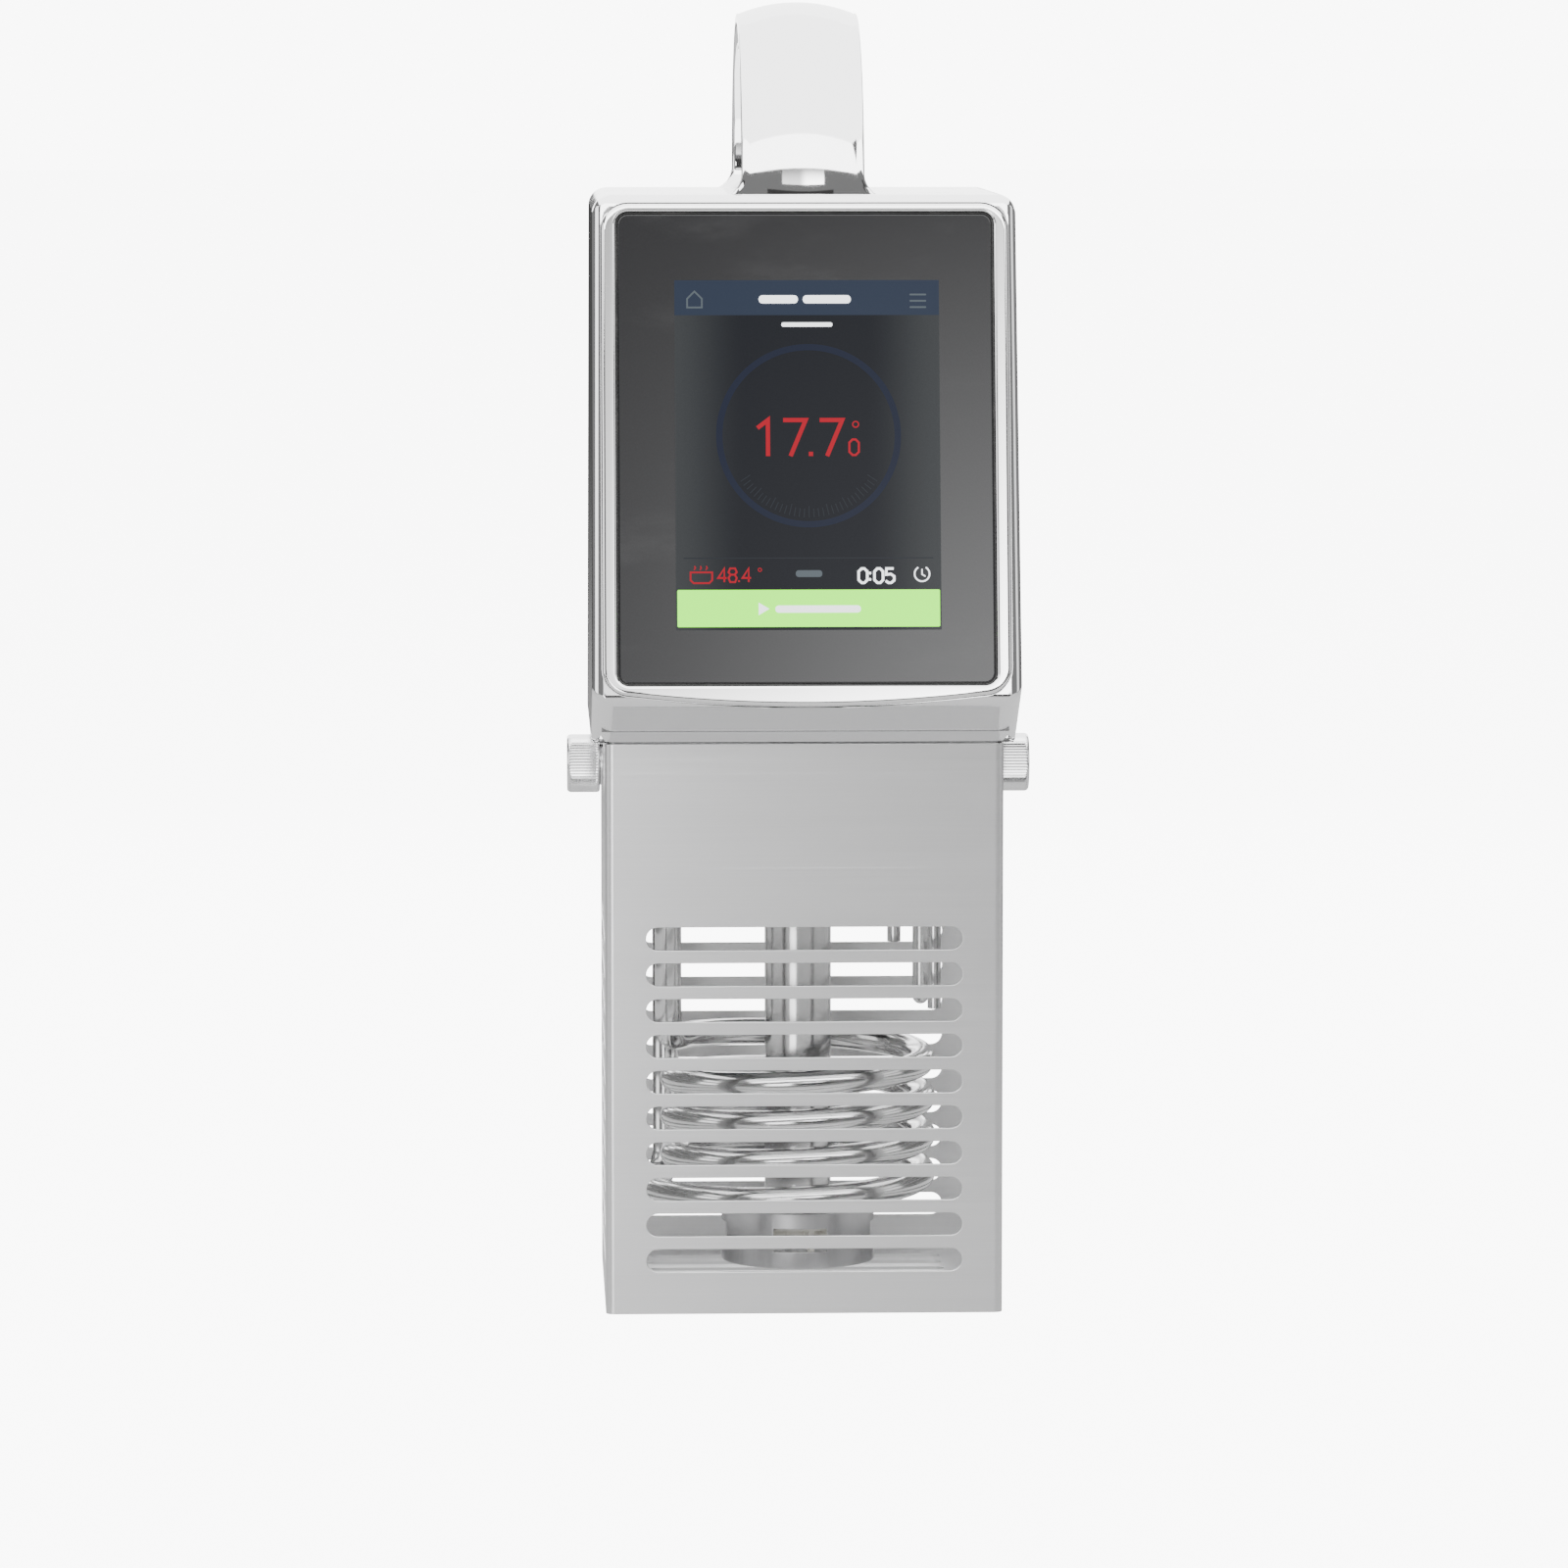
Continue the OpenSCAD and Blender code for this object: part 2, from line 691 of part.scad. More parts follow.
module bearing_upper() {
    color("lightsteelblue") translate([0, 0, motor_z + motor_l - motor_can_t - bearing_h - 0.05])
        tube(bearing_d / 2, shaft_d / 2 + run, bearing_h);
}

module bearing_lower() {
    color("lightsteelblue") translate([0, 0, motor_z + motor_can_t + 0.05])
        tube(bearing_d / 2, shaft_d / 2 + run, bearing_h);
}

module drive_shaft() {
    color("silver") translate([0, 0, impeller_z - 3]) cylinder(r = shaft_d / 2, h = shaft_top - impeller_z + 3);
}

module shaft_seal() {
    color([0.15, 0.15, 0.15]) translate([0, 0, plate_top + 0.02]) tube(tube_d / 2 - 1, shaft_d / 2 + run, 5);
}

module shaft_tube() {
    color("silver") translate([0, 0, bush_z + 0.02]) {
        tube(tube_d / 2, tube_d / 2 - tube_t, head_z - bush_z - 0.04);
        translate([0, 0, head_z - bush_z - 3.04]) tube(tube_d / 2 + 7, tube_d / 2 - tube_t, 3);
    }
}

module shaft_bush() {
    color("ivory") translate([0, 0, bush_z + 0.04]) tube(tube_d / 2 - tube_t - 0.02, shaft_d / 2 + run, bush_h);
}

module pump_housing() {
    color("lightgray") {
        difference() {
            translate([0, 0, pump_z]) tube(pump_r, pump_r - pump_t, pump_top - pump_z + eps);
            for (a = [0:90:270]) rotate(a)
                block([0, pump_r + 1], [-8, 8], [impeller_z + 1, impeller_z + impeller_h - 1]);
        }
        translate([0, 0, pump_top]) tube(pump_r, shaft_d / 2 + 1, pump_t);
    }
}

module impeller() {
    blade_t = 1.8;
    color("ivory") translate([0, 0, impeller_z]) {
        difference() {
            union() {
                cylinder(r = shaft_d / 2 + 3, h = impeller_h);
                translate([0, 0, impeller_h - 2]) cylinder(r = impeller_d / 2, h = 2);
                for (a = [0:60:300]) rotate(a) translate([shaft_d / 2 + 1, 0, 0]) rotate(-25)
                    translate([0, -blade_t / 2, 0]) cube([impeller_d / 2 - shaft_d / 2 - 4, blade_t, impeller_h - 1]);
            }
            translate([0, 0, -1]) cylinder(r = shaft_d / 2, h = impeller_h + 2);
        }
    }
}

// ---- Heater and probes ----

// Point at radius r, angle a about the shaft and height z
function polar(r, a, z) = [r * cos(a), r * sin(a), z];

// Coil point after a degrees of winding from its top; the last quarter turn opens out to the return
function coil_point(a) =
    let (s = max(0, (a - coil_wind + 90) / 90))
    polar(coil_r + (return_r - coil_r) * s * s, 180 - a, max(coil_z, coil_top - coil_pitch * a / 360));

// Middle line of the heater: down the riser, round the coil and up the return
function heater_path() = concat(
    [polar(riser_r, 180, heater_end), polar(riser_r, 180, coil_top + 9),
        polar(riser_r - 0.3, 178.6, coil_top + 4), polar(riser_r - 0.8, 174, coil_top + 0.9)],
    [for (a = [ring_step:ring_step:coil_wind - ring_step]) coil_point(a)],
    [polar(return_r - 2, return_angle + 5, coil_z + 0.7), polar(return_r, return_angle + 1.4, coil_z + 3.6),
        polar(return_r, return_angle, coil_z + 8), polar(return_r, return_angle, heater_end)]);

function unit(v) = v / norm(v);

// Ring of points round place i of a path that never runs straight out from the shaft
function ring(path, i, r, sides) =
    let (t = unit(path[min(i + 1, len(path) - 1)] - path[max(i - 1, 0)]),
        side = unit(cross(t, [path[i][0], path[i][1], 0])), up = cross(side, t))
    [for (k = [0:sides - 1]) path[i] + r * (cos(360 * k / sides) * side + sin(360 * k / sides) * up)];

module swept(path, r, sides) {
    n = len(path);
    walls = [for (i = [0:n - 2], k = [0:sides - 1])
        [i * sides + k, i * sides + (k + 1) % sides, (i + 1) * sides + (k + 1) % sides, (i + 1) * sides + k]];
    ends = [[for (k = [sides - 1:-1:0]) k], [for (k = [0:sides - 1]) (n - 1) * sides + k]];
    polyhedron([for (i = [0:n - 1]) each ring(path, i, r, sides)], concat(walls, ends), convexity = 10);
}

module heater_coil() {
    color("silver") swept(heater_path(), heater_d / 2, 10);
}

module fitting_places() {
    translate([-riser_r, 0, 0]) children();
    translate([return_x, return_y, 0]) children();
}

module heater_nuts() {
    color("goldenrod") fitting_places() translate([0, 0, plate_top + 0.02]) difference() {
        hexagon(heater_d + 3, nut_h);
        translate([0, 0, -1]) cylinder(r = heater_d / 2 + 0.1, h = nut_h + 2);
    }
}

module temperature_probe() {
    color("silver") translate([probe_at[0], probe_at[1], 0]) {
        translate([0, 0, coil_top + 8]) cylinder(r = probe_d / 2, h = plate_top + 12 - coil_top - 8);
        translate([0, 0, coil_top + 8]) sphere(r = probe_d / 2);
    }
}

module level_places() {
    for (i = [0, 1]) translate([level_at[0] - i * level_step, level_at[1], 0]) children();
}

module level_probes() {
    color("silver") for (i = [0, 1])
        translate([level_at[0] - i * level_step, level_at[1], coil_top + 14 + 20 * i])
            cylinder(r = level_d / 2, h = plate_top + 12 - coil_top - 14 - 20 * i);
}

module probe_nuts() {
    color("goldenrod") {
        translate([probe_at[0], probe_at[1], plate_top + 0.02]) difference() {
            hexagon(probe_d + 4, nut_h - 1);
            translate([0, 0, -1]) cylinder(r = probe_d / 2 + 0.1, h = nut_h + 2);
        }
        level_places() translate([0, 0, plate_top + 0.02]) difference() {
            hexagon(level_d + 4.5, nut_h - 1);
            translate([0, 0, -1]) cylinder(r = level_d / 2 + 0.1, h = nut_h + 2);
        }
    }
}

// ---- Electronics ----

module power_board() {
    color("seagreen") difference() {
        block([board_x, board_x + board_t], board_y, board_z);
        spacer_places() translate([-1, 0, 0]) rotate([0, 90, 0]) cylinder(r = 1.6, h = board_t + 2);
    }
}

module spacer_places() {
    for (y = [board_y[0] + 5, board_y[1] - 5], z = [board_z[0] + 5, board_z[1] - 5])
        translate([board_x, y, z]) children();
}

module board_spacers() {
    color("gold") spacer_places() {
        translate([-spacer_l, 0, 0]) rotate([0, 90, 0]) cylinder(r = 2.5, h = spacer_l - 0.02);
        translate([-eps - 0.02, 0, 0]) rotate([0, 90, 0]) cylinder(r = 1.5, h = board_t + 2);
    }
}

module relay() {
    color("black") block([board_x + board_t, board_x + board_t + 15], [board_y[0] + 10, board_y[0] + 38],
        [board_z[0] + 2, board_z[0] + 14]);
}

module capacitor() {
    color("steelblue") translate([board_x + board_t, (board_y[0] + board_y[1]) / 2, board_z[1] - 12])
        rotate([0, 90, 0]) cylinder(r = 8, h = 22);
}

module terminal_block() {
    color("darkgreen") difference() {
        block([board_x + board_t, board_x + board_t + 12], [board_y[1] - 34, board_y[1] - 10],
            [board_z[0] + 18, board_z[0] + 28]);
        for (i = [0:2]) translate([board_x + board_t + 5, board_y[1] - 30 + 8 * i, board_z[0] + 23])
            rotate([0, 90, 0]) cylinder(r = 2.2, h = 20);
    }
}

module heat_sink() {
    color("silver") {
        block([sink_x - 4, sink_x], board_y, board_z);
        for (i = [0:6]) block([sink_x - 18, sink_x - 4 + eps], [board_y[0] + i * 8, board_y[0] + i * 8 + 1.6], board_z);
    }
}

module fan_frame() {
    color([0.15, 0.15, 0.15]) translate([0, fan_face - fan_t, fan_z]) along_y() difference() {
        linear_extrude(fan_t) rounded_rect(fan_w, fan_w, 3);
        translate([0, 0, 2]) cylinder(r = fan_w / 2 - 1.2, h = fan_t);
        for (a = [0:90:270]) rotate(a) translate([fan_w * 0.27, 0, -1]) cylinder(r = fan_w * 0.13, h = 5);
        translate([0, 0, -1]) cylinder(r = 2 + run, h = 5);
    }
}

module fan_rotor() {
    color("dimgray") translate([0, fan_face - fan_t, fan_z]) along_y() {
        cylinder(r = 2, h = 6);
        translate([0, 0, 3]) cylinder(r = fan_w * 0.24, h = 5.5);
        for (a = [0:360 / 7:359]) rotate(a) translate([fan_w * 0.22, 0, 3.5]) rotate([35, 0, 0])
            translate([0, -0.6, 0]) cube([fan_w / 2 - 2.4 - fan_w * 0.22, 1.2, 5]);
    }
}

// ---- Rear fittings ----

module switch_body() {
    color([0.12, 0.12, 0.12]) difference() {
        union() {
            block([switch_x - switch_w / 2, switch_x + switch_w / 2], [rear_y - 20, rear_y + 1.5],
                [service_z - switch_h / 2, service_z + switch_h / 2]);
            block([switch_x - switch_w / 2 - 1.5, switch_x + switch_w / 2 + 1.5], [rear_y + 0.02, rear_y + 1.5],
                [service_z - switch_h / 2 - 1.5, service_z + switch_h / 2 + 1.5]);
        }
        block([switch_x - switch_w / 2 + 1.2, switch_x + switch_w / 2 - 1.2], [rear_y - 8, rear_y + 5],
            [service_z - switch_h / 2 + 1, service_z + switch_h / 2 - 1]);
    }
}

// Rocker: a cylinder sector with two flats that rise from the middle, tipped to its lower stop
module rocker() {
    rocker_r = switch_h / 2 - 1.3;
    color("darkred") translate([switch_x - switch_w / 2 + 1.5, rear_y - 0.5, service_z]) rotate([0, 90, 0])
        rotate(-rocker_tip) linear_extrude(switch_w - 3) intersection() {
            circle(rocker_r);
            translate([-rocker_r, -4]) square([2 * rocker_r, 8]);
            union() {
                rotate(-rocker_tip) translate([-2 * rocker_r, -10]) square([2 * rocker_r + 3, 12.6]);
                rotate(rocker_tip) translate([-3, -10]) square([2 * rocker_r + 3, 12.6]);
            }
        }
}

module cable_gland() {
    color([0.12, 0.12, 0.12]) translate([gland_x, rear_y, service_z]) along_y() difference() {
        union() {
            translate([0, 0, -10]) cylinder(r = gland_r - 4, h = 12);
            translate([0, 0, 0.02]) hexagon(2 * gland_r - 2, 4);
            translate([0, 0, 4]) cylinder(r = gland_r - 1.2, h = gland_l - 8);
            translate([0, 0, gland_l - 4]) cylinder(r1 = gland_r - 1.2, r2 = cord_bore_r + 1.5, h = 4);
        }
        translate([0, 0, -11]) cylinder(r = cord_bore_r, h = gland_l + 12);
    }
}

module gland_nut() {
    color([0.12, 0.12, 0.12]) translate([gland_x, cover_out - 0.04, service_z]) rotate([90, 0, 0]) difference() {
        hexagon(2 * gland_r - 2, 4);
        translate([0, 0, -1]) cylinder(r = gland_r - 3.95, h = 6);
    }
}

// ---- Wall clamp ----

module clamp_bracket() {
    front = guard_d / 2 + 1.5;
    color("silver") difference() {
        union() {
            block([-bracket_w / 2, bracket_w / 2], [front, bracket_out], [head_z - bracket_t - 0.02, head_z - 0.02]);
            block([-bracket_w / 2, bracket_w / 2], [bracket_in, bracket_out], [bracket_z, head_z - 0.02]);
            translate([0, bracket_out - eps, spindle_z]) along_y() cylinder(r = spindle_d / 2 + 3.5, h = boss_len);
        }
        translate([0, bracket_in - 1, spindle_z]) along_y() cylinder(r = spindle_d / 2 + run, h = 20);
        for (x = [-1, 1]) translate([x * bracket_hole_x, bracket_hole_y, head_z - 10])
            cylinder(r = base_hole_r, h = 20);
        for (x = [-1, 1]) translate([x * bracket_w / 2, 0, bracket_z]) rotate([-90, 45, 0])
            translate([-5, -5, 0]) cube([10, 10, 200]);
    }
}

module bracket_screws() {
    color("silver") for (x = [-1, 1])
        translate([x * bracket_hole_x, bracket_hole_y, head_z - bracket_t - 0.04])
            screw(base_screw_r, bracket_t + plate_t + gasket_t + 3, 3.4, 2.2);
}

module clamp_spindle() {
    color("silver") translate([0, pad_rest + facing_t + 1, spindle_z]) along_y()
        cylinder(r = spindle_d / 2, h = clamp_knob_in + clamp_knob_l - 4 - pad_rest - facing_t - 1);
}

module clamp_knob() {
    lobes = 6;
    color([0.12, 0.12, 0.12]) translate([0, clamp_knob_in, spindle_z]) along_y() difference() {
        cylinder(r = clamp_knob_d / 2, h = clamp_knob_l);
        for (a = [0:360 / lobes:359]) rotate(a) translate([clamp_knob_d / 2 + 3.5, 0, -1])
            cylinder(r = 5.5, h = clamp_knob_l + 2);
        translate([0, 0, -1]) cylinder(r = spindle_d / 2, h = clamp_knob_l - 3);
    }
}

module clamp_pad() {
    color("silver") translate([0, pad_rest + facing_t, spindle_z]) along_y() difference() {
        union() {
            cylinder(r = pad_d / 2, h = pad_t);
            cylinder(r = spindle_d / 2 + 2, h = pad_t + 2);
        }
        translate([0, 0, 1]) cylinder(r = spindle_d / 2 + run, h = pad_t + 4);
    }
}

module pad_facing() {
    color([0.15, 0.15, 0.15]) translate([0, pad_rest, spindle_z]) along_y() cylinder(r = pad_d / 2, h = facing_t);
}

head_shell();
handle();
handle_screws();
front_bezel();
glass_gasket();
touch_glass();
display_panel();
display_bracket();
display_screws();
control_board();
rear_cover();
rear_gasket();
rear_cover_screws();
base_plate();
base_gasket();
base_screws();
guard_collar();
guard_shell();
guard_base();
thumb_screw_left();
thumb_screw_right();
thumb_washer_left();
thumb_washer_right();
motor_bracket();
motor_can();
motor_stator();
motor_rotor();
bearing_upper();
bearing_lower();
drive_shaft();
shaft_seal();
shaft_tube();
shaft_bush();
pump_housing();
impeller();
heater_coil();
heater_nuts();
temperature_probe();
level_probes();
probe_nuts();
power_board();
board_spacers();
heat_sink();
relay();
capacitor();
terminal_block();
fan_frame();
fan_rotor();
switch_body();
rocker();
cable_gland();
gland_nut();
clamp_bracket();
bracket_screws();
clamp_spindle();
clamp_knob();
clamp_pad();
pad_facing();
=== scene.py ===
"""Looks of an immersion circulator for sous vide cooking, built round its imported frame.

Everything is in metres in the frame's own axes: +Z up, the screen faces -Y, and the origin is the
centre of the guard's base.
"""

import logging
import math
from dataclasses import dataclass, field
from enum import Enum
from typing import Callable, Iterable, Optional, Sequence, Union

import bmesh
import bpy
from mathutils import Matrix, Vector


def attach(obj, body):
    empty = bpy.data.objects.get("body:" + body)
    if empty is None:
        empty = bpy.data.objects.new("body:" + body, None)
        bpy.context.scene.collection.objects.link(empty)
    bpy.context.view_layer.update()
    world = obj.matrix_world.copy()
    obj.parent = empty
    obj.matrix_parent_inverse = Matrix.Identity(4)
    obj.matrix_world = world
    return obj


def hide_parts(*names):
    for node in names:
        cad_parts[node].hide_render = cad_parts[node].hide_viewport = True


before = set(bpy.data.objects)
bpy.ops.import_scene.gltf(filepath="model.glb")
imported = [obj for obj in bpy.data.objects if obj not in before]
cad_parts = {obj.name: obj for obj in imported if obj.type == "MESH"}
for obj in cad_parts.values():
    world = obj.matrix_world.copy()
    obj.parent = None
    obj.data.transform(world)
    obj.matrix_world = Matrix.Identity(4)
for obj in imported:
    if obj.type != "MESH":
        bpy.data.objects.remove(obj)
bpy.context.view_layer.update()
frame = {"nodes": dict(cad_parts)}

MM = 0.001
LOG = logging.getLogger("circulator")

Colour = tuple[float, float, float]
Point2 = tuple[float, float]
Loop = list[Vector]
Paint = Union[Colour, bpy.types.NodeSocket]


# ---------------------------------------------------------------- shader maths


class Value:
    """A node's output that shader maths is written with."""

    def __init__(self, canvas: "Canvas", socket: bpy.types.NodeSocket) -> None:
        """Wraps one output socket of a canvas."""
        self.canvas = canvas
        self.socket = socket

    def _math(self, operation: str, first: "Number", second: "Number") -> "Value":
        """Adds one Math node and returns its output."""
        node = self.canvas.node("ShaderNodeMath", {"operation": operation}, {0: first, 1: second})
        return Value(self.canvas, node.outputs[0])

    def __add__(self, other: "Number") -> "Value":
        """Sum."""
        return self._math("ADD", self, other)

    __radd__ = __add__

    def __sub__(self, other: "Number") -> "Value":
        """Difference."""
        return self._math("SUBTRACT", self, other)

    def __rsub__(self, other: "Number") -> "Value":
        """Difference with the number first."""
        return self._math("SUBTRACT", other, self)

    def __mul__(self, other: "Number") -> "Value":
        """Product."""
        return self._math("MULTIPLY", self, other)

    __rmul__ = __mul__

    def __truediv__(self, other: "Number") -> "Value":
        """Quotient."""
        return self._math("DIVIDE", self, other)

    def __abs__(self) -> "Value":
        """Distance from zero."""
        return self._math("ABSOLUTE", self, 0.0)

    def ramp(self, low: float, high: float) -> "Value":
        """Smooth step from 0 at low to 1 at high.

        Args:
            low: value that gives 0.
            high: value that gives 1.

        Returns:
            The step.
        """
        settings = {"interpolation_type": "SMOOTHSTEP"}
        inputs = {"Value": self, "From Min": low, "From Max": high}
        return Value(self.canvas, self.canvas.node("ShaderNodeMapRange", settings, inputs).outputs[0])


Number = Union[Value, float]


def shade(colour: Colour, share: float) -> Colour:
    """A colour that is a share as bright."""
    return tuple(share * c for c in colour)


class NodeTree:
    """A node tree that gets every node from one method."""

    def __init__(self, tree: bpy.types.NodeTree) -> None:
        """Takes over a tree and empties it."""
        self.tree = tree
        self.tree.nodes.clear()

    def node(self, kind: str, settings: dict, inputs: dict) -> bpy.types.Node:
        """Adds a node.

        Args:
            kind: the node's type.
            settings: its properties, set first.
            inputs: input name or index to a value, a Value or a socket.

        Returns:
            The new node.
        """
        node = self.tree.nodes.new(kind)
        for key, setting in settings.items():
            setattr(node, key, setting)
        for key, value in inputs.items():
            if isinstance(value, Value):
                value = value.socket
            if isinstance(value, bpy.types.NodeSocket):
                self.tree.links.new(value, node.inputs[key])
            else:
                node.inputs[key].default_value = value
        return node


class Canvas(NodeTree):
    """One material's node tree with its Principled shader."""

    def __init__(self, name: str) -> None:
        """Makes an empty material that holds one Principled shader.

        Args:
            name: the material's name.
        """
        self.material = bpy.data.materials.new(name)
        self.material.use_nodes = True
        super().__init__(self.material.node_tree)
        self.shader = self.node("ShaderNodeBsdfPrincipled", {}, {})
        self.node("ShaderNodeOutputMaterial", {}, {"Surface": self.shader.outputs[0]})

    def place(self, scale: Sequence[float] = (1, 1, 1)) -> bpy.types.NodeSocket:
        """Object coordinates in metres, stretched by a scale along each axis.

        Args:
            scale: factor along each axis.

        Returns:
            The scaled coordinates.
        """
        where = self.node("ShaderNodeTexCoord", {}, {}).outputs["Object"]
        node = self.node("ShaderNodeVectorMath", {"operation": "MULTIPLY"}, {0: where, 1: tuple(scale)})
        return node.outputs[0]

    def axis(self, name: str) -> Value:
        """One of the object coordinates, X, Y or Z, in metres."""
        node = self.node("ShaderNodeSeparateXYZ", {}, {0: self.place()})
        return Value(self, node.outputs[name])

    def noise(self, scale: Sequence[float], detail: float = 2.0, rough: float = 0.5) -> Value:
        """Noise from 0 to 1 with its own number of features a metre along each axis."""
        inputs = {"Vector": self.place(scale), "Scale": 1.0, "Detail": detail, "Roughness": rough}
        return Value(self, self.node("ShaderNodeTexNoise", {}, inputs).outputs[0])

    def cells(self, scale: float) -> Value:
        """Distance to the nearest of many scattered points."""
        inputs = {"Vector": self.place((scale, scale, scale)), "Scale": 1.0}
        return Value(self, self.node("ShaderNodeTexVoronoi", {}, inputs).outputs["Distance"])

    def mix(self, factor: Number, low: Paint, high: Paint) -> bpy.types.NodeSocket:
        """Colour between low and high by factor.

        Args:
            factor: 0 for the low colour, 1 for the high one.
            low: first colour, or a socket that gives one.
            high: second colour, or a socket that gives one.

        Returns:
            The mixed colour's socket.
        """
        node = self.node("ShaderNodeMix", {"data_type": "RGBA"}, {0: factor})
        for index, colour in ((6, low), (7, high)):
            if isinstance(colour, bpy.types.NodeSocket):
                self.tree.links.new(colour, node.inputs[index])
            else:
                node.inputs[index].default_value = (*colour, 1.0)
        return node.outputs[2]

    def set(self, **sockets: object) -> None:
        """Sets or links inputs of the shader, with underscores for the spaces in their names.

        Args:
            sockets: input name to a number, a colour, a Value or a socket.
        """
        for key, value in sockets.items():
            target = self.shader.inputs[key.replace("_", " ")]
            if isinstance(value, Value):
                value = value.socket
            if isinstance(value, bpy.types.NodeSocket):
                self.tree.links.new(value, target)
            elif isinstance(value, tuple) and len(value) == 3:
                target.default_value = (*value, 1.0)
            else:
                target.default_value = value

    def bump(self, height: Value, depth: float, strength: float = 1.0) -> None:
        """Feeds a height from 0 to 1, of that depth in metres, to the shader's normal.

        Args:
            height: the height, from 0 to 1.
            depth: what a height of 1 stands for, in metres.
            strength: share of the bump that shows.
        """
        inputs = {"Strength": strength, "Distance": depth, "Height": height}
        node = self.node("ShaderNodeBump", {}, inputs)
        self.tree.links.new(node.outputs[0], self.shader.inputs["Normal"])


# ---------------------------------------------------------------- finishes


@dataclass(frozen=True)
class Finish:
    """A surface finish that makes its own material."""

    name: str

    def material(self) -> bpy.types.Material:
        """Returns the finish's material, made once.

        Returns:
            The material.
        """
        found = bpy.data.materials.get(self.name)
        if found is None:
            canvas = Canvas(self.name)
            self.paint(canvas)
            found = canvas.material
        return found

    def paint(self, canvas: Canvas) -> None:
        """Adds the finish's nodes to a canvas."""
        raise NotImplementedError


@dataclass(frozen=True)
class Polished(Finish):
    """Mirror-polished stainless steel with faint waves and wiped smudges."""

    colour: Colour = (0.86, 0.86, 0.865)
    rough: float = 0.045
    waves: float = 0.00012

    def paint(self, canvas: Canvas) -> None:
        """Adds polishing waves, smudges and hairline wipe marks.

        Args:
            canvas: the material's canvas.
        """
        smudge = canvas.noise((38, 38, 30), 5.0, 0.6).ramp(0.52, 0.74)
        hair = canvas.noise((90, 90, 1800), 2.0).ramp(0.62, 0.8)
        canvas.set(
            Base_Color=canvas.mix(smudge * 0.5, self.colour, shade(self.colour, 0.93)),
            Metallic=1.0,
            Roughness=self.rough + 0.05 * smudge + 0.03 * hair,
        )
        canvas.bump(canvas.noise((26, 26, 34), 1.0), self.waves, 0.6)


@dataclass(frozen=True)
class Brushed(Finish):
    """Sheet or drawn steel with a fine level grain."""

    colour: Colour = (0.72, 0.72, 0.725)
    rough: float = 0.3
    grain: tuple[float, float, float] = (14.0, 14.0, 2600.0)

    def paint(self, canvas: Canvas) -> None:
        """Adds the grain, a slow drift in tone and a few deeper lines.

        Args:
            canvas: the material's canvas.
        """
        grain = canvas.noise(self.grain, 3.0, 0.65)
        line = canvas.noise(tuple(0.35 * g for g in self.grain), 1.0).ramp(0.66, 0.78)
        drift = canvas.noise((9, 9, 12), 2.0)
        tone = (grain * 0.35 + drift * 0.65).ramp(0.25, 0.8)
        canvas.set(
            Base_Color=canvas.mix(tone, shade(self.colour, 0.9), self.colour),
            Metallic=1.0,
            Roughness=self.rough - 0.05 + 0.1 * grain + 0.06 * line,
        )
        canvas.bump(grain * 0.8 + line * 0.4, 0.000012, 0.5)


@dataclass(frozen=True)
class Turned(Finish):
    """Machined metal with fine tool marks."""

    colour: Colour = (0.8, 0.8, 0.8)
    rough: float = 0.18

    def paint(self, canvas: Canvas) -> None:
        """Adds tool marks and slight tarnish.

        Args:
            canvas: the material's canvas.
        """
        marks = canvas.noise((2200, 160, 160), 2.0)
        tarnish = canvas.noise((60, 60, 60), 3.0).ramp(0.5, 0.8)
        canvas.set(
            Base_Color=canvas.mix(tarnish * 0.6, self.colour, shade(self.colour, 0.78)),
            Metallic=1.0,
            Roughness=self.rough + 0.12 * marks + 0.1 * tarnish,
        )
        canvas.bump(marks, 0.000008, 0.4)


@dataclass(frozen=True)
class Moulded(Finish):
    """Moulded plastic with a fine eroded texture."""

    colour: Colour = (0.03, 0.03, 0.032)
    rough: float = 0.45
    texture: float = 2400.0

    def paint(self, canvas: Canvas) -> None:
        """Adds the eroded texture and slightly rubbed high spots.

        Args:
            canvas: the material's canvas.
        """
        pits = canvas.cells(self.texture)
        rubbed = canvas.noise((70, 70, 70), 3.0).ramp(0.55, 0.8)
        lighter = tuple(min(1.0, 1.25 * c + 0.01) for c in self.colour)
        canvas.set(
            Base_Color=canvas.mix(rubbed, self.colour, lighter),
            Roughness=self.rough + 0.12 * pits - 0.08 * rubbed,
        )
        canvas.bump(pits, 0.00002, 0.35)


@dataclass(frozen=True)
class SealRubber(Finish):
    """Dull black rubber with a dusty bloom."""

    def paint(self, canvas: Canvas) -> None:
        """Adds bloom and a soft grain.

        Args:
            canvas: the material's canvas.
        """
        bloom = canvas.noise((120, 120, 120), 4.0).ramp(0.45, 0.75)
        canvas.set(
            Base_Color=canvas.mix(bloom, (0.018, 0.018, 0.018), (0.045, 0.044, 0.043)),
            Roughness=0.62 + 0.2 * bloom,
        )
        canvas.bump(canvas.noise((900, 900, 900), 2.0), 0.00003, 0.3)


@dataclass(frozen=True)
class BackedGlass(Finish):
    """Black-backed touch glass with a faint wiped film."""

    def paint(self, canvas: Canvas) -> None:
        """Adds the wiped film to a deep gloss.

        Args:
            canvas: the material's canvas.
        """
        film = canvas.noise((22, 22, 60), 4.0, 0.6).ramp(0.5, 0.85)
        canvas.set(
            Base_Color=canvas.mix(film, (0.012, 0.012, 0.013), (0.02, 0.02, 0.021)),
            Roughness=0.03 + 0.05 * film,
            IOR=1.52,
            Specular_IOR_Level=0.36,
        )


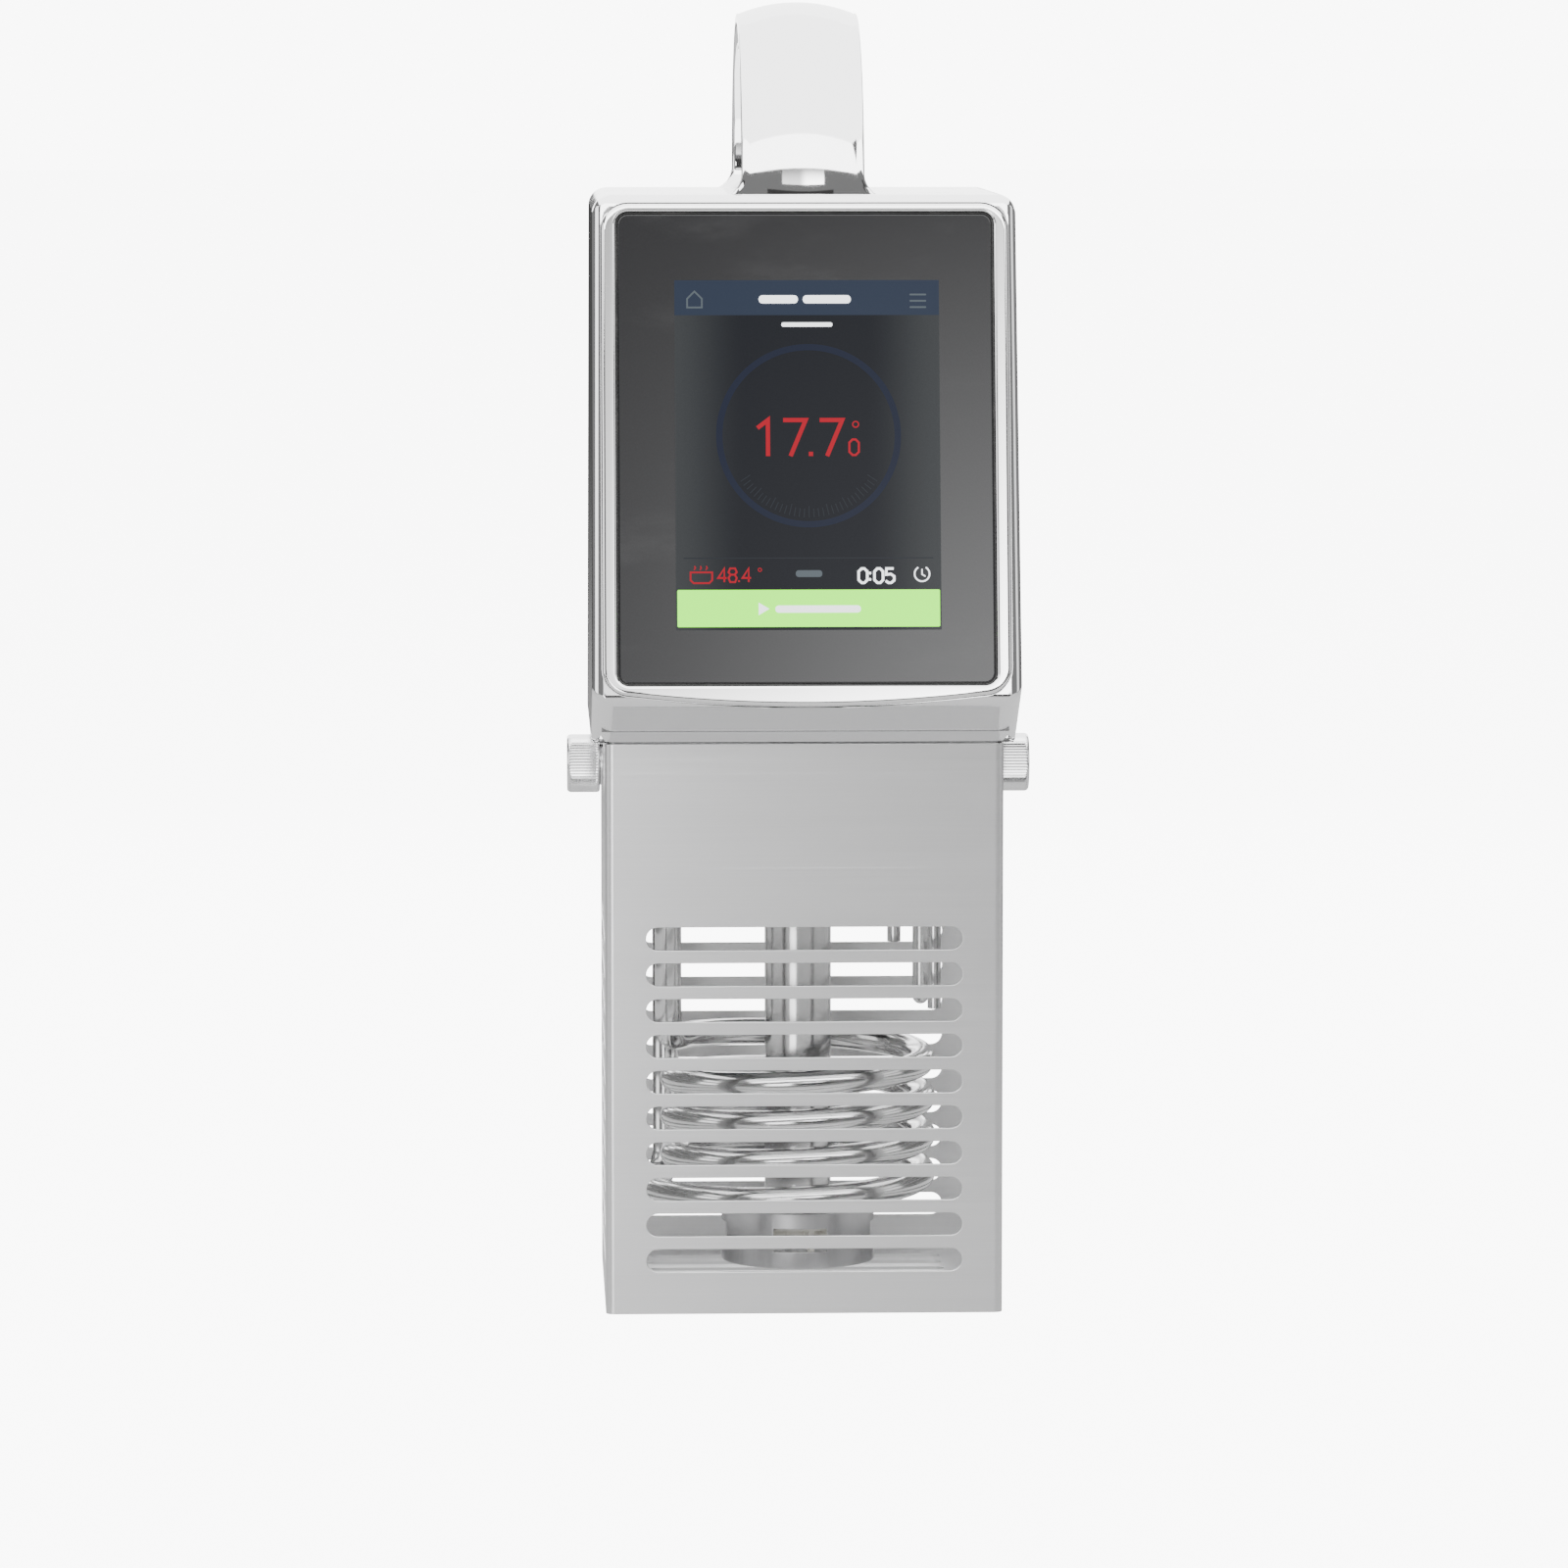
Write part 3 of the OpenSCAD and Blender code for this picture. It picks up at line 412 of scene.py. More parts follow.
@dataclass(frozen=True)
class LitPanel(Finish):
    """Lit display ground: dark in the middle, with a paler glow down both sides."""

    half_width: float = 0.038
    middle: Colour = (0.010, 0.012, 0.016)
    edge: Colour = (0.055, 0.060, 0.062)
    strength: float = 1.0

    def paint(self, canvas: Canvas) -> None:
        """Adds the glow and a fine raster.

        Args:
            canvas: the material's canvas.
        """
        side = (abs(canvas.axis("X")) / self.half_width).ramp(0.45, 1.05)
        raster = canvas.noise((5200, 10, 5200), 0.0)
        glow = canvas.mix(side, self.middle, self.edge)
        dim = canvas.mix(raster.ramp(0.2, 0.8) * 0.12, glow, (0.0, 0.0, 0.0))
        canvas.set(
            Base_Color=(0.006, 0.006, 0.007),
            Emission_Color=dim,
            Emission_Strength=self.strength,
            Roughness=0.03 + 0.02 * raster,
            IOR=1.52,
            Specular_IOR_Level=0.06,
        )


@dataclass(frozen=True)
class Lit(Finish):
    """Lit mark on the display, with the same gloss as the glass over it."""

    colour: Colour = (1.0, 1.0, 1.0)
    strength: float = 1.0

    def paint(self, canvas: Canvas) -> None:
        """Adds the lit colour with a fine raster in it.

        Args:
            canvas: the material's canvas.
        """
        raster = canvas.noise((5200, 10, 5200), 0.0).ramp(0.2, 0.8)
        canvas.set(
            Base_Color=(0.006, 0.006, 0.007),
            Emission_Color=canvas.mix(raster * 0.12, self.colour, shade(self.colour, 0.7)),
            Emission_Strength=self.strength,
            Roughness=0.03 + 0.02 * raster,
            IOR=1.52,
            Specular_IOR_Level=0.06,
        )


@dataclass(frozen=True)
class SolderMask(Finish):
    """Circuit board with copper tracks under green lacquer."""

    def paint(self, canvas: Canvas) -> None:
        """Adds tracks, lacquer and pads.

        Args:
            canvas: the material's canvas.
        """
        inputs = {"Vector": canvas.place((220, 220, 220)), "Scale": 1.0, "Mortar Size": 0.08}
        brick = canvas.node("ShaderNodeTexBrick", {"offset": 0.5}, inputs)
        track = Value(canvas, brick.outputs["Fac"])
        pads = 1 - canvas.cells(260).ramp(0.16, 0.2)
        mask = canvas.mix(track, (0.006, 0.09, 0.035), (0.02, 0.17, 0.07))
        canvas.set(
            Base_Color=canvas.mix(pads, mask, (0.6, 0.58, 0.5)),
            Metallic=pads * 0.9,
            Roughness=0.22 + 0.15 * pads,
        )
        canvas.bump(track + pads, 0.00003, 0.5)


@dataclass(frozen=True)
class Windings(Finish):
    """Varnished copper wire and stacked laminations."""

    def paint(self, canvas: Canvas) -> None:
        """Adds turns of wire as fine level ridges.

        Args:
            canvas: the material's canvas.
        """
        inputs = {"Vector": canvas.place((1, 1, 1)), "Scale": 420.0, "Distortion": 0.6}
        wave = canvas.node("ShaderNodeTexWave", {"bands_direction": "Z"}, inputs)
        wire = Value(canvas, wave.outputs["Fac"])
        canvas.set(
            Base_Color=canvas.mix(wire, (0.16, 0.05, 0.02), (0.5, 0.2, 0.08)),
            Metallic=0.7,
            Roughness=0.3 + 0.2 * wire,
        )
        canvas.bump(wire, 0.00015, 0.6)


class Look(Enum):
    """The finishes that the object's pieces are dressed in."""

    CAST = Polished("cast_polish")
    BEZEL = Polished("bezel_polish", (0.9, 0.9, 0.9), 0.03, 0.00003)
    SHEET = Brushed("guard_grain", (0.74, 0.74, 0.745), 0.33)
    PLATE = Brushed("mill_plate", (0.62, 0.62, 0.63), 0.36, (900.0, 18.0, 18.0))
    TUBE = Brushed("drawn_tube", (0.7, 0.7, 0.7), 0.16, (300.0, 300.0, 40.0))
    SCREW = Turned("turned_steel", (0.78, 0.78, 0.785), 0.12)
    BRASS = Turned("turned_brass", (0.72, 0.5, 0.2), 0.2)
    SINK = Turned("extruded_aluminium", (0.8, 0.8, 0.81), 0.32)
    SEAL = SealRubber("seal_rubber")
    GLASS = BackedGlass("touch_glass")
    BLACK = Moulded("black_moulding")
    COVER = Moulded("dark_cover", (0.045, 0.046, 0.05), 0.5, 1500.0)
    WHITE = Moulded("white_moulding", (0.72, 0.71, 0.66), 0.38)
    RED = Moulded("red_rocker", (0.36, 0.012, 0.012), 0.22, 3000.0)
    SLEEVE = Moulded("blue_sleeve", (0.03, 0.10, 0.30), 0.25, 3000.0)
    PAINT = Moulded("motor_enamel", (0.035, 0.036, 0.04), 0.3, 900.0)
    BOARD = SolderMask("solder_mask")
    COPPER = Windings("copper_windings")


# ---------------------------------------------------------------- mesh tools


def arc(centre: Point2, radius: float, start: float, end: float, steps: int) -> list[Point2]:
    """Points along an arc, with its angles in degrees and both ends included."""
    turns = [math.radians(start + (end - start) * i / steps) for i in range(steps + 1)]
    return [(centre[0] + radius * math.cos(t), centre[1] + radius * math.sin(t)) for t in turns]


def make_object(name: str, data: bmesh.types.BMesh, look: Finish, sharp: float = 35.0) -> bpy.types.Object:
    """Turns a bmesh into a smooth-shaded object with one finish.

    Args:
        name: the object's name.
        data: the mesh, which is freed.
        look: its finish.
        sharp: edges over this angle in degrees stay sharp.

    Returns:
        The linked object.
    """
    bmesh.ops.remove_doubles(data, verts=data.verts, dist=1e-7)
    bmesh.ops.recalc_face_normals(data, faces=data.faces)
    mesh = bpy.data.meshes.new(name)
    data.to_mesh(mesh)
    data.free()
    mesh.materials.append(look.material())
    mesh.shade_smooth()
    mesh.set_sharp_from_angle(angle=math.radians(sharp))
    thing = bpy.data.objects.new(name, mesh)
    bpy.context.scene.collection.objects.link(thing)
    return thing


def loft(data: bmesh.types.BMesh, loops: Sequence[Loop], caps: bool = False, ring: bool = True) -> None:
    """Joins loops of equal length with quads.

    Args:
        data: the mesh to add to.
        loops: the loops, in order.
        caps: whether to close the first and last loop with a face.
        ring: whether each loop closes on itself.
    """
    rows = [[data.verts.new(p) for p in loop] for loop in loops]
    count = len(rows[0])
    for low, high in zip(rows, rows[1:]):
        for i in range(count if ring else count - 1):
            j = (i + 1) % count
            data.faces.new((low[i], low[j], high[j], high[i]))
    if caps:
        data.faces.new(rows[0])
        data.faces.new(rows[-1])


def baked(thing: bpy.types.Object) -> bpy.types.Object:
    """Applies an object's modifiers to its mesh and returns the object.

    Args:
        thing: the object.

    Returns:
        The same object, with no modifier left.
    """
    bpy.context.view_layer.update()
    graph = bpy.context.evaluated_depsgraph_get()
    mesh = bpy.data.meshes.new_from_object(thing.evaluated_get(graph))
    thing.modifiers.clear()
    thing.data = mesh
    return thing


def cut(thing: bpy.types.Object, cutters: Iterable[bpy.types.Object]) -> bpy.types.Object:
    """Cuts other solids out of an object, then removes them.

    Args:
        thing: the object that is cut.
        cutters: the solids that cut it.

    Returns:
        The cut object.
    """
    cutters = list(cutters)
    for cutter in cutters:
        modifier = thing.modifiers.new("cut", "BOOLEAN")
        modifier.operation = "DIFFERENCE"
        modifier.solver = "EXACT"
        modifier.object = cutter
    baked(thing)
    for cutter in cutters:
        bpy.data.objects.remove(cutter)
    return thing


def even_shading(thing: bpy.types.Object, sharp: float = 35.0) -> bpy.types.Object:
    """Keeps flats flat and rounds smooth by weighting normals with face area.

    Args:
        thing: the object.
        sharp: edges over this angle in degrees stay sharp.

    Returns:
        The same object.
    """
    thing.data.shade_smooth()
    thing.data.set_sharp_from_angle(angle=math.radians(sharp))
    modifier = thing.modifiers.new("weighted", "WEIGHTED_NORMAL")
    modifier.keep_sharp = True
    modifier.weight = 100
    return baked(thing)


def prism(name: str, outline: Sequence[Point2], place: Callable[[float, float, float], Vector],
          low: float, high: float, look: Finish) -> bpy.types.Object:
    """Solid between two depths of a flat outline, set in space by place(u, v, depth).

    Args:
        name: the object's name.
        outline: the flat outline.
        place: sets (u, v, depth) in space.
        low: the first depth.
        high: the second depth.
        look: its finish.

    Returns:
        The linked object.
    """
    data = bmesh.new()
    loft(data, [[place(u, v, w) for u, v in outline] for w in (low, high)], caps=True)
    return make_object(name, data, look)


def from_front(u: float, v: float, w: float) -> Vector:
    """Place of a point across, up and into the depth."""
    return Vector((u, w, v)) * MM


def from_side(u: float, v: float, w: float) -> Vector:
    """Place of a point in depth, up and across."""
    return Vector((w, u, v)) * MM


def from_above(u: float, v: float, w: float) -> Vector:
    """Place of a point across, in depth and up."""
    return Vector((u, v, w)) * MM


def rounded_outline(width: float, height: float, radius: float, steps: int = 8,
                    centre: Point2 = (0.0, 0.0)) -> list[Point2]:
    """Outline of a rectangle with round corners, anticlockwise from its lower left.

    Args:
        width: its width.
        height: its height.
        radius: radius of its corners.
        steps: steps in each corner.
        centre: its middle.

    Returns:
        The points.
    """
    points = []
    for sx, sy, start in ((-1, -1, 180), (1, -1, 270), (1, 1, 0), (-1, 1, 90)):
        corner = (centre[0] + sx * (width / 2 - radius), centre[1] + sy * (height / 2 - radius))
        points += arc(corner, radius, start, start + 90, steps)
    return points


def slot_outline(length: float, width: float, centre: Point2, steps: int = 12) -> list[Point2]:
    """Outline of a level slot with round ends.

    Args:
        length: its whole length.
        width: its width.
        centre: its middle.
        steps: steps in each end.

    Returns:
        The points, anticlockwise.
    """
    r = width / 2
    x, y = centre
    right = arc((x + length / 2 - r, y), r, -90, 90, steps)
    return right + arc((x - length / 2 + r, y), r, 90, 270, steps)


def sheet_mesh(outline: Sequence[Point2], holes: Sequence[Sequence[Point2]], thick: float,
               edge: float) -> bpy.types.Mesh:
    """Flat sheet in XY with holes and softly broken edges.

    Args:
        outline: the sheet's outline.
        holes: outlines of its holes.
        thick: the sheet's thickness, from z = -thick to 0.
        edge: radius of its broken edges.

    Returns:
        The mesh.
    """
    curve = bpy.data.curves.new("sheet", "CURVE")
    curve.dimensions = "2D"
    curve.fill_mode = "BOTH"
    for points in [outline, *holes]:
        spline = curve.splines.new("POLY")
        spline.points.add(len(points) - 1)
        for point, (x, y) in zip(spline.points, points):
            point.co = (x, y, 0.0, 1.0)
        spline.use_cyclic_u = True
    curve.extrude = thick / 2 - edge
    curve.bevel_depth = edge
    curve.bevel_resolution = 2
    curve.offset = -edge
    thing = bpy.data.objects.new("sheet", curve)
    bpy.context.scene.collection.objects.link(thing)
    bpy.context.view_layer.update()
    mesh = bpy.data.meshes.new_from_object(thing.evaluated_get(bpy.context.evaluated_depsgraph_get()))
    bpy.data.objects.remove(thing)
    bpy.data.curves.remove(curve)
    for vertex in mesh.vertices:
        vertex.co.z -= thick / 2
    return mesh


def lathe(data: bmesh.types.BMesh, profile: Sequence[Point2], columns: int,
          place: Callable[[float, float, float], Vector],
          shape: Callable[[float, int], float]) -> None:
    """Turns a profile round an axis.

    Args:
        data: the mesh to add to.
        profile: points (radius, height) from one end of the axis to the other.
        columns: how many columns go round.
        place: sets (x, y, height) in space.
        shape: factor on the radius at an angle in radians and a row of the profile.
    """
    loops = []
    for row, (radius, height) in enumerate(profile):
        loop = []
        for i in range(columns):
            angle = 2 * math.pi * i / columns
            r = radius * shape(angle, row)
            loop.append(place(r * math.cos(angle), r * math.sin(angle), height))
        loops.append(loop)
    loft(data, loops, caps=True)


def sweep(data: bmesh.types.BMesh, path: Sequence[Vector], radius: float, sides: int) -> None:
    """Round tube along a path, with frames carried on from ring to ring.

    Args:
        data: the mesh to add to.
        path: the tube's middle line.
        radius: its radius.
        sides: how many sides go round.
    """
    loops = []
    side = Vector((0, 1, 0))
    for i, point in enumerate(path):
        ahead = (path[min(i + 1, len(path) - 1)] - path[max(i - 1, 0)]).normalized()
        side = (side - ahead * side.dot(ahead)).normalized()
        up = ahead.cross(side)
        turns = [2 * math.pi * k / sides for k in range(sides)]
        loops.append([point + radius * (math.cos(t) * side + math.sin(t) * up) for t in turns])
    loft(data, loops, caps=True)


def smooth_path(points: Sequence[Vector], steps: int) -> list[Vector]:
    """Passes a smooth curve through points, with so many steps between two of them.

    Args:
        points: the points to pass through.
        steps: steps between two of them.

    Returns:
        The points of the curve.
    """
    path = []
    for i in range(len(points) - 1):
        a, b = points[max(i - 1, 0)], points[i]
        c, d = points[i + 1], points[min(i + 2, len(points) - 1)]
        for k in range(steps):
            t = k / steps
            path.append(0.5 * (2 * b + (c - a) * t + (2 * a - 5 * b + 4 * c - d) * t * t
                               + (3 * b - a - 3 * c + d) * t ** 3))
    path.append(points[-1].copy())
    return path


def install(thing: bpy.types.Object, body: str, slot: str, *nodes: str) -> bpy.types.Object:
    """Sets a piece on its body, and hides the frame's nodes that it stands for.

    Args:
        thing: the piece.
        body: the body that it rides on.
        slot: its slot; not used.
        nodes: the frame's nodes that it stands for.

    Returns:
        The same piece.
    """
    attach(thing, body)
    if nodes:
        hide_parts(*nodes)
    LOG.info("%s rides on %s, %d faces", thing.name, body, len(thing.data.polygons))
    return thing


# ---------------------------------------------------------------- head


@dataclass
class LeaningFace:
    """The screen's plane: u across, v up the face from its foot and w outwards, in millimetres."""

    foot: Point2 = (-79.0, 182.5)
    lean: float = 11.0

    def slope(self) -> Point2:
        """Sine and cosine of the lean."""
        return math.sin(math.radians(self.lean)), math.cos(math.radians(self.lean))

    def at(self, u: float, v: float, w: float) -> Vector:
        """Place in space, in metres."""
        sin, cos = self.slope()
        return Vector((u, self.foot[0] + v * sin - w * cos, self.foot[1] + v * cos + w * sin)) * MM


@dataclass
class HeadCasting:
    """Polished cast shell: a lofted prism with a width of round for each kind of edge."""

    face: LeaningFace
    half_bottom: float = 62.5
    half_top: float = 61.8
    bottom: float = 169.0
    top: float = 329.0
    front: float = -55.0
    rear: float = 69.0
    roof_front: float = -50.52
    cross_rounds: tuple[float, ...] = (1.0, 1.5, 7.0, 3.0, 2.6)
    side_rounds: tuple[float, ...] = (1.2, 4.0, 5.5, 3.6, 6.5)
    wall: float = 3.0
    front_wall: float = 6.0
    pocket: float = 2.4
    cover: tuple[float, float, float] = (109.0, 142.0, 249.0)
    cover_seat: float = 1.8
    cover_lip: float = 5.0
    hollow_bends: Point2 = (190.0, 181.5)
    opening: tuple[float, float, float] = (46.05, -46.1, 54.0)
    ledge_levels: Point2 = (173.0, 177.0)
    screw_hole: float = 1.78
    screw_places: tuple[Point2, ...] = ((50.65, -46), (50.65, 0), (50.65, 46), (17.0, 61.0))
    clearance: float = 0.02
    beyond: float = 12.0
    shell: bpy.types.Object = field(init=False)

    def profile(self) -> tuple[Point2, ...]:
        """Side outline as (depth, height), from the front of the underside round to the screen's foot.

        Returns:
            The five corners.
        """
        underside = (self.front, self.bottom), (self.rear, self.bottom)
        return *underside, (self.rear, self.top), (self.roof_front, self.top), self.face.foot

    def half_width(self, z: float) -> float:
        """Half the width at a height, which narrows a little towards the top."""
        share = (z - self.bottom) / (self.top - self.bottom)
        return self.half_bottom + (self.half_top - self.half_bottom) * share

    def build(self) -> None:
        """Makes the solid, rounds its edges and cuts its pockets."""
        data = bmesh.new()
        outline = self.profile()
        sides = [[data.verts.new(Vector((s * self.half_width(z), y, z)) * MM) for y, z in outline]
                 for s in (-1, 1)]
        for row in sides:
            data.faces.new(row)
        weights = data.edges.layers.float.new("bevel_weight_edge")
        count, widest = len(outline), max(*self.cross_rounds, *self.side_rounds)
        for i in range(count):
            j = (i + 1) % count
            data.faces.new((sides[0][i], sides[0][j], sides[1][j], sides[1][i]))
        for i in range(count):
            j = (i + 1) % count
            data.edges.get((sides[0][i], sides[1][i]))[weights] = self.cross_rounds[i] / widest
            for row in sides:
                data.edges.get((row[i], row[j]))[weights] = self.side_rounds[i] / widest
        self.shell = make_object("head_casting", data, Look.CAST.value)
        bevel = self.shell.modifiers.new("rounds", "BEVEL")
        bevel.limit_method = "WEIGHT"
        bevel.width = widest * MM
        bevel.segments = 9
        bevel.use_clamp_overlap = False
        bevel.miter_outer = "MITER_SHARP"
        baked(self.shell)
        cut(self.shell, self.cutters())

    def cutters(self) -> list[bpy.types.Object]:
        """Solids that are cut out of the casting.

        Returns:
            The cutters.
        """
        plain, far = Look.CAST.value, self.beyond
        width, height, middle = self.cover
        seat, lip = self.rear - self.cover_seat, 2 * self.cover_lip
        recess = rounded_outline(width, height, 4, 8, (0, middle))
        hole = rounded_outline(width - lip, height - lip, 3, 8, (0, middle))
        return [
            prism("pocket", BEZEL_EDGE.loop(0.25), self.face.at, -self.pocket, far, plain),
            prism("window", GLASS_EDGE.loop(1.0), self.face.at, -far, far, plain),
            prism("recess", recess, from_front, seat, self.rear + far, plain),
            prism("rear_hole", hole, from_front, self.rear - far, self.rear + far, plain),
            self.hollow(self.bottom - far, self.top - self.wall),
        ]

    def inner_front(self, z: float) -> float:
        """Depth of the inner front wall at a height, in the screen's wall or in the chin.

        Args:
            z: the height.

        Returns:
            The depth.
        """
        sin, cos = self.face.slope()
        depth, height = self.face.foot
        leaning = depth + (z - height) / cos * sin + self.front_wall / cos
        nose, rise = self.front - depth, height - self.bottom
        chin = self.front - (z - self.bottom) * nose / rise + self.wall / math.sin(math.atan2(rise, nose))
        return max(leaning, chin)

    def hollow(self, low: float, high: float) -> bpy.types.Object:
        """Inside of the shell between two heights.

        Args:
            low: the lower height.
            high: the upper height.

        Returns:
            The solid.
        """
        heights = (high, *self.hollow_bends, self.bottom, low)
        front = [(self.inner_front(max(z, self.bottom)), z) for z in heights]
        rear, half = self.rear - self.wall, self.half_bottom - self.wall
        outline = [(rear, low), (rear, high), *front]
        return prism("hollow", outline, from_side, -half, half, Look.CAST.value)

    def ledge(self) -> bpy.types.Object:
        """Ledge inside the shell that the base plate is screwed to.

        Returns:
            The ledge.
        """
        plain = Look.CAST.value
        half, rear = (edge - self.wall - self.clearance for edge in (self.half_bottom, self.rear))
        low, high = self.ledge_levels
        front = self.inner_front(high) + 0.5
        outline = [(-half, front), (half, front), (half, rear), (-half, rear)]
        ring = prism("casting_ledge", outline, from_above, low, high, plain)
        width, y0, y1 = self.opening
        opening = [(-width, y0), (width, y0), (width, y1), (-width, y1)]
        reach = low - self.beyond, high + self.beyond
        cuts = [prism("opening", opening, from_above, *reach, plain)]
        for x, y in self.screw_places:
            for s in (-1, 1):
                hole = arc((s * x, y), self.screw_hole, 0, 345, 23)
                cuts.append(prism("hole", hole, from_above, *reach, plain))
        return cut(ring, cuts)

    def dress(self) -> None:
        """Sets the shading and stands in for the frame's shell."""
        even_shading(self.shell)
        install(self.shell, "unit", "cast_body", "head_shell")
        install(self.ledge(), "unit", "cast_body")


@dataclass(frozen=True)
class Outline:
    """Rounded outline on the leaning face, whose lower edge may be bowed."""

    half: float
    top: float
    low: float
    corner: float
    bow: float = 0.0

    def loop(self, grow: float, steps: int = 8, bottom: int = 24) -> list[Point2]:
        """Points of the outline, in the same count whatever its shape.

        Args:
            grow: distance outwards from the true outline.
            steps: steps in each corner.
            bottom: points along the lower edge.

        Returns:
            The points (u, v), anticlockwise.
        """
        top, low = self.top + grow, self.low - grow
        r = max(self.corner + grow, 0.3)
        c = self.half + grow - r
        bow = self.bow + grow

        def sag(u: float) -> float:
            """How far the lower edge has risen at u."""
            return bow - math.sqrt(bow * bow - u * u) if self.bow else 0.0

        swing = math.degrees(math.asin(c / bow)) if self.bow else 0.0
        across = [-c + 2 * c * (i + 0.5) / bottom for i in range(bottom)]
        points = [(u, low + sag(u)) for u in across]
        points += arc((c, low + sag(c) + r), r, 270 + swing, 360, steps)
        points += arc((c, top - r), r, 0, 90, steps)
        points += arc((-c, top - r), r, 90, 180, steps)
        points += arc((-c, low + sag(c) + r), r, 180, 270 - swing, steps)
        return points


BEZEL_EDGE = Outline(half=59.35, top=146.7, low=-0.7, corner=8.0, bow=440.0)
GLASS_EDGE = Outline(half=54.5, top=143.5, low=6.0, corner=3.0)


@dataclass
class ScreenFront:
    """Bezel, seal and glass, lofted from outlines with rolled edges."""

    face: LeaningFace
    proud: float = 0.8
    depth: float = 2.1
    outer_roll: float = 1.3
    inner_roll: float = 0.85
    seal: float = 0.6
    glass_roll: float = 0.45
    glass_back: float = 2.98
    clearance: float = 0.02
    parts: dict[str, bpy.types.Object] = field(default_factory=dict)

    def ring(self, name: str, rows: Sequence[tuple[list[Point2], float]], look: Finish) -> None:
        """Lofts rows of (outline, depth) into one closed ring.

        Args:
            name: the ring's name.
            rows: its outlines, each with its depth.
            look: its finish.
        """
        data = bmesh.new()
        loops = [[self.face.at(u, v, w) for u, v in outline] for outline, w in rows]
        loft(data, [*loops, loops[0]])
        self.parts[name] = make_object(name, data, look, 50)

    def build(self) -> None:
        """Makes the three pieces."""
        quarter = [math.radians(90 * i / 7) for i in range(8)]
        inside = self.seal + self.clearance
        rows = [(BEZEL_EDGE.loop(0), -self.depth)]
        rows += [(BEZEL_EDGE.loop(self.outer_roll * (math.cos(t) - 1)),
                  self.proud + self.outer_roll * (math.sin(t) - 1)) for t in quarter]
        rows += [(GLASS_EDGE.loop(inside + self.inner_roll * (1 - math.cos(t))),
                  self.proud + self.inner_roll * (math.sin(t) - 1)) for t in reversed(quarter)]
        rows.append((GLASS_EDGE.loop(inside), -self.depth))
        self.ring("bezel", rows, Look.BEZEL.value)
        section = ((self.seal, -self.depth), (self.seal, -0.4), (self.seal * 0.75, -0.25),
                   (self.seal * 0.25, -0.3), (self.clearance, -0.5), (self.clearance, -self.depth))
        self.ring("glass_seal", [(GLASS_EDGE.loop(grow), w) for grow, w in section], Look.SEAL.value)
        data = bmesh.new()
        loops = [(GLASS_EDGE.loop(0), -self.glass_back)]
        loops += [(GLASS_EDGE.loop(self.glass_roll * (math.cos(t) - 1)),
                   self.glass_roll * (math.sin(t) - 1)) for t in quarter]
        loft(data, [[self.face.at(u, v, w) for u, v in line] for line, w in loops], caps=True)
        self.parts["glass_sheet"] = make_object("glass_sheet", data, Look.GLASS.value, 60)

    def dress(self) -> None:
        """Stands in for the frame's bezel, seal and glass."""
        even_shading(self.parts["bezel"], 60)
        even_shading(self.parts["glass_sheet"], 60)
        install(self.parts["bezel"], "unit", "bezel", "front_bezel")
        install(self.parts["glass_seal"], "unit", "seal", "glass_gasket")
        install(self.parts["glass_sheet"], "unit", "glass", "touch_glass")


# ---------------------------------------------------------------- display

DIGITS: dict[str, list[list[Point2]]] = {
    "0": [[(0, 0.2), (0, 0.8), (0.2, 1), (0.4, 1), (0.6, 0.8), (0.6, 0.2), (0.4, 0), (0.2, 0), (0, 0.2)]],
    "1": [[(0.05, 0.78), (0.34, 1), (0.34, 0)]],
    "4": [[(0.45, 0), (0.45, 1), (0, 0.3), (0.62, 0.3)]],
    "5": [[(0.56, 1), (0.06, 1), (0.03, 0.57), (0.36, 0.62), (0.6, 0.45), (0.6, 0.18), (0.4, 0), (0.18, 0),
           (0, 0.14)]],
    "7": [[(0, 1), (0.62, 1), (0.2, 0)]],
    "8": [[(0.15, 0.54), (0, 0.72), (0.12, 1), (0.48, 1), (0.6, 0.72), (0.45, 0.54), (0.15, 0.54), (0, 0.3),
           (0.12, 0), (0.48, 0), (0.6, 0.3), (0.45, 0.54)]],
}


class Ink(Enum):
    """Colours of the lit marks."""

    WHITE = Lit("lit_white", (2.6, 2.7, 2.75), 1.0)
    GREY = Lit("lit_grey", (0.13, 0.16, 0.18), 1.0)
    FAINT = Lit("lit_faint", (0.022, 0.027, 0.034), 1.0)
    HEADER = Lit("lit_header", (0.030, 0.044, 0.078), 1.0)
    NAVY = Lit("lit_navy", (0.011, 0.017, 0.040), 1.0)
    RED = Lit("lit_red", (0.62, 0.0, 0.018), 1.0)
    GREEN = Lit("lit_green", (0.42, 1.9, 0.03), 1.7)


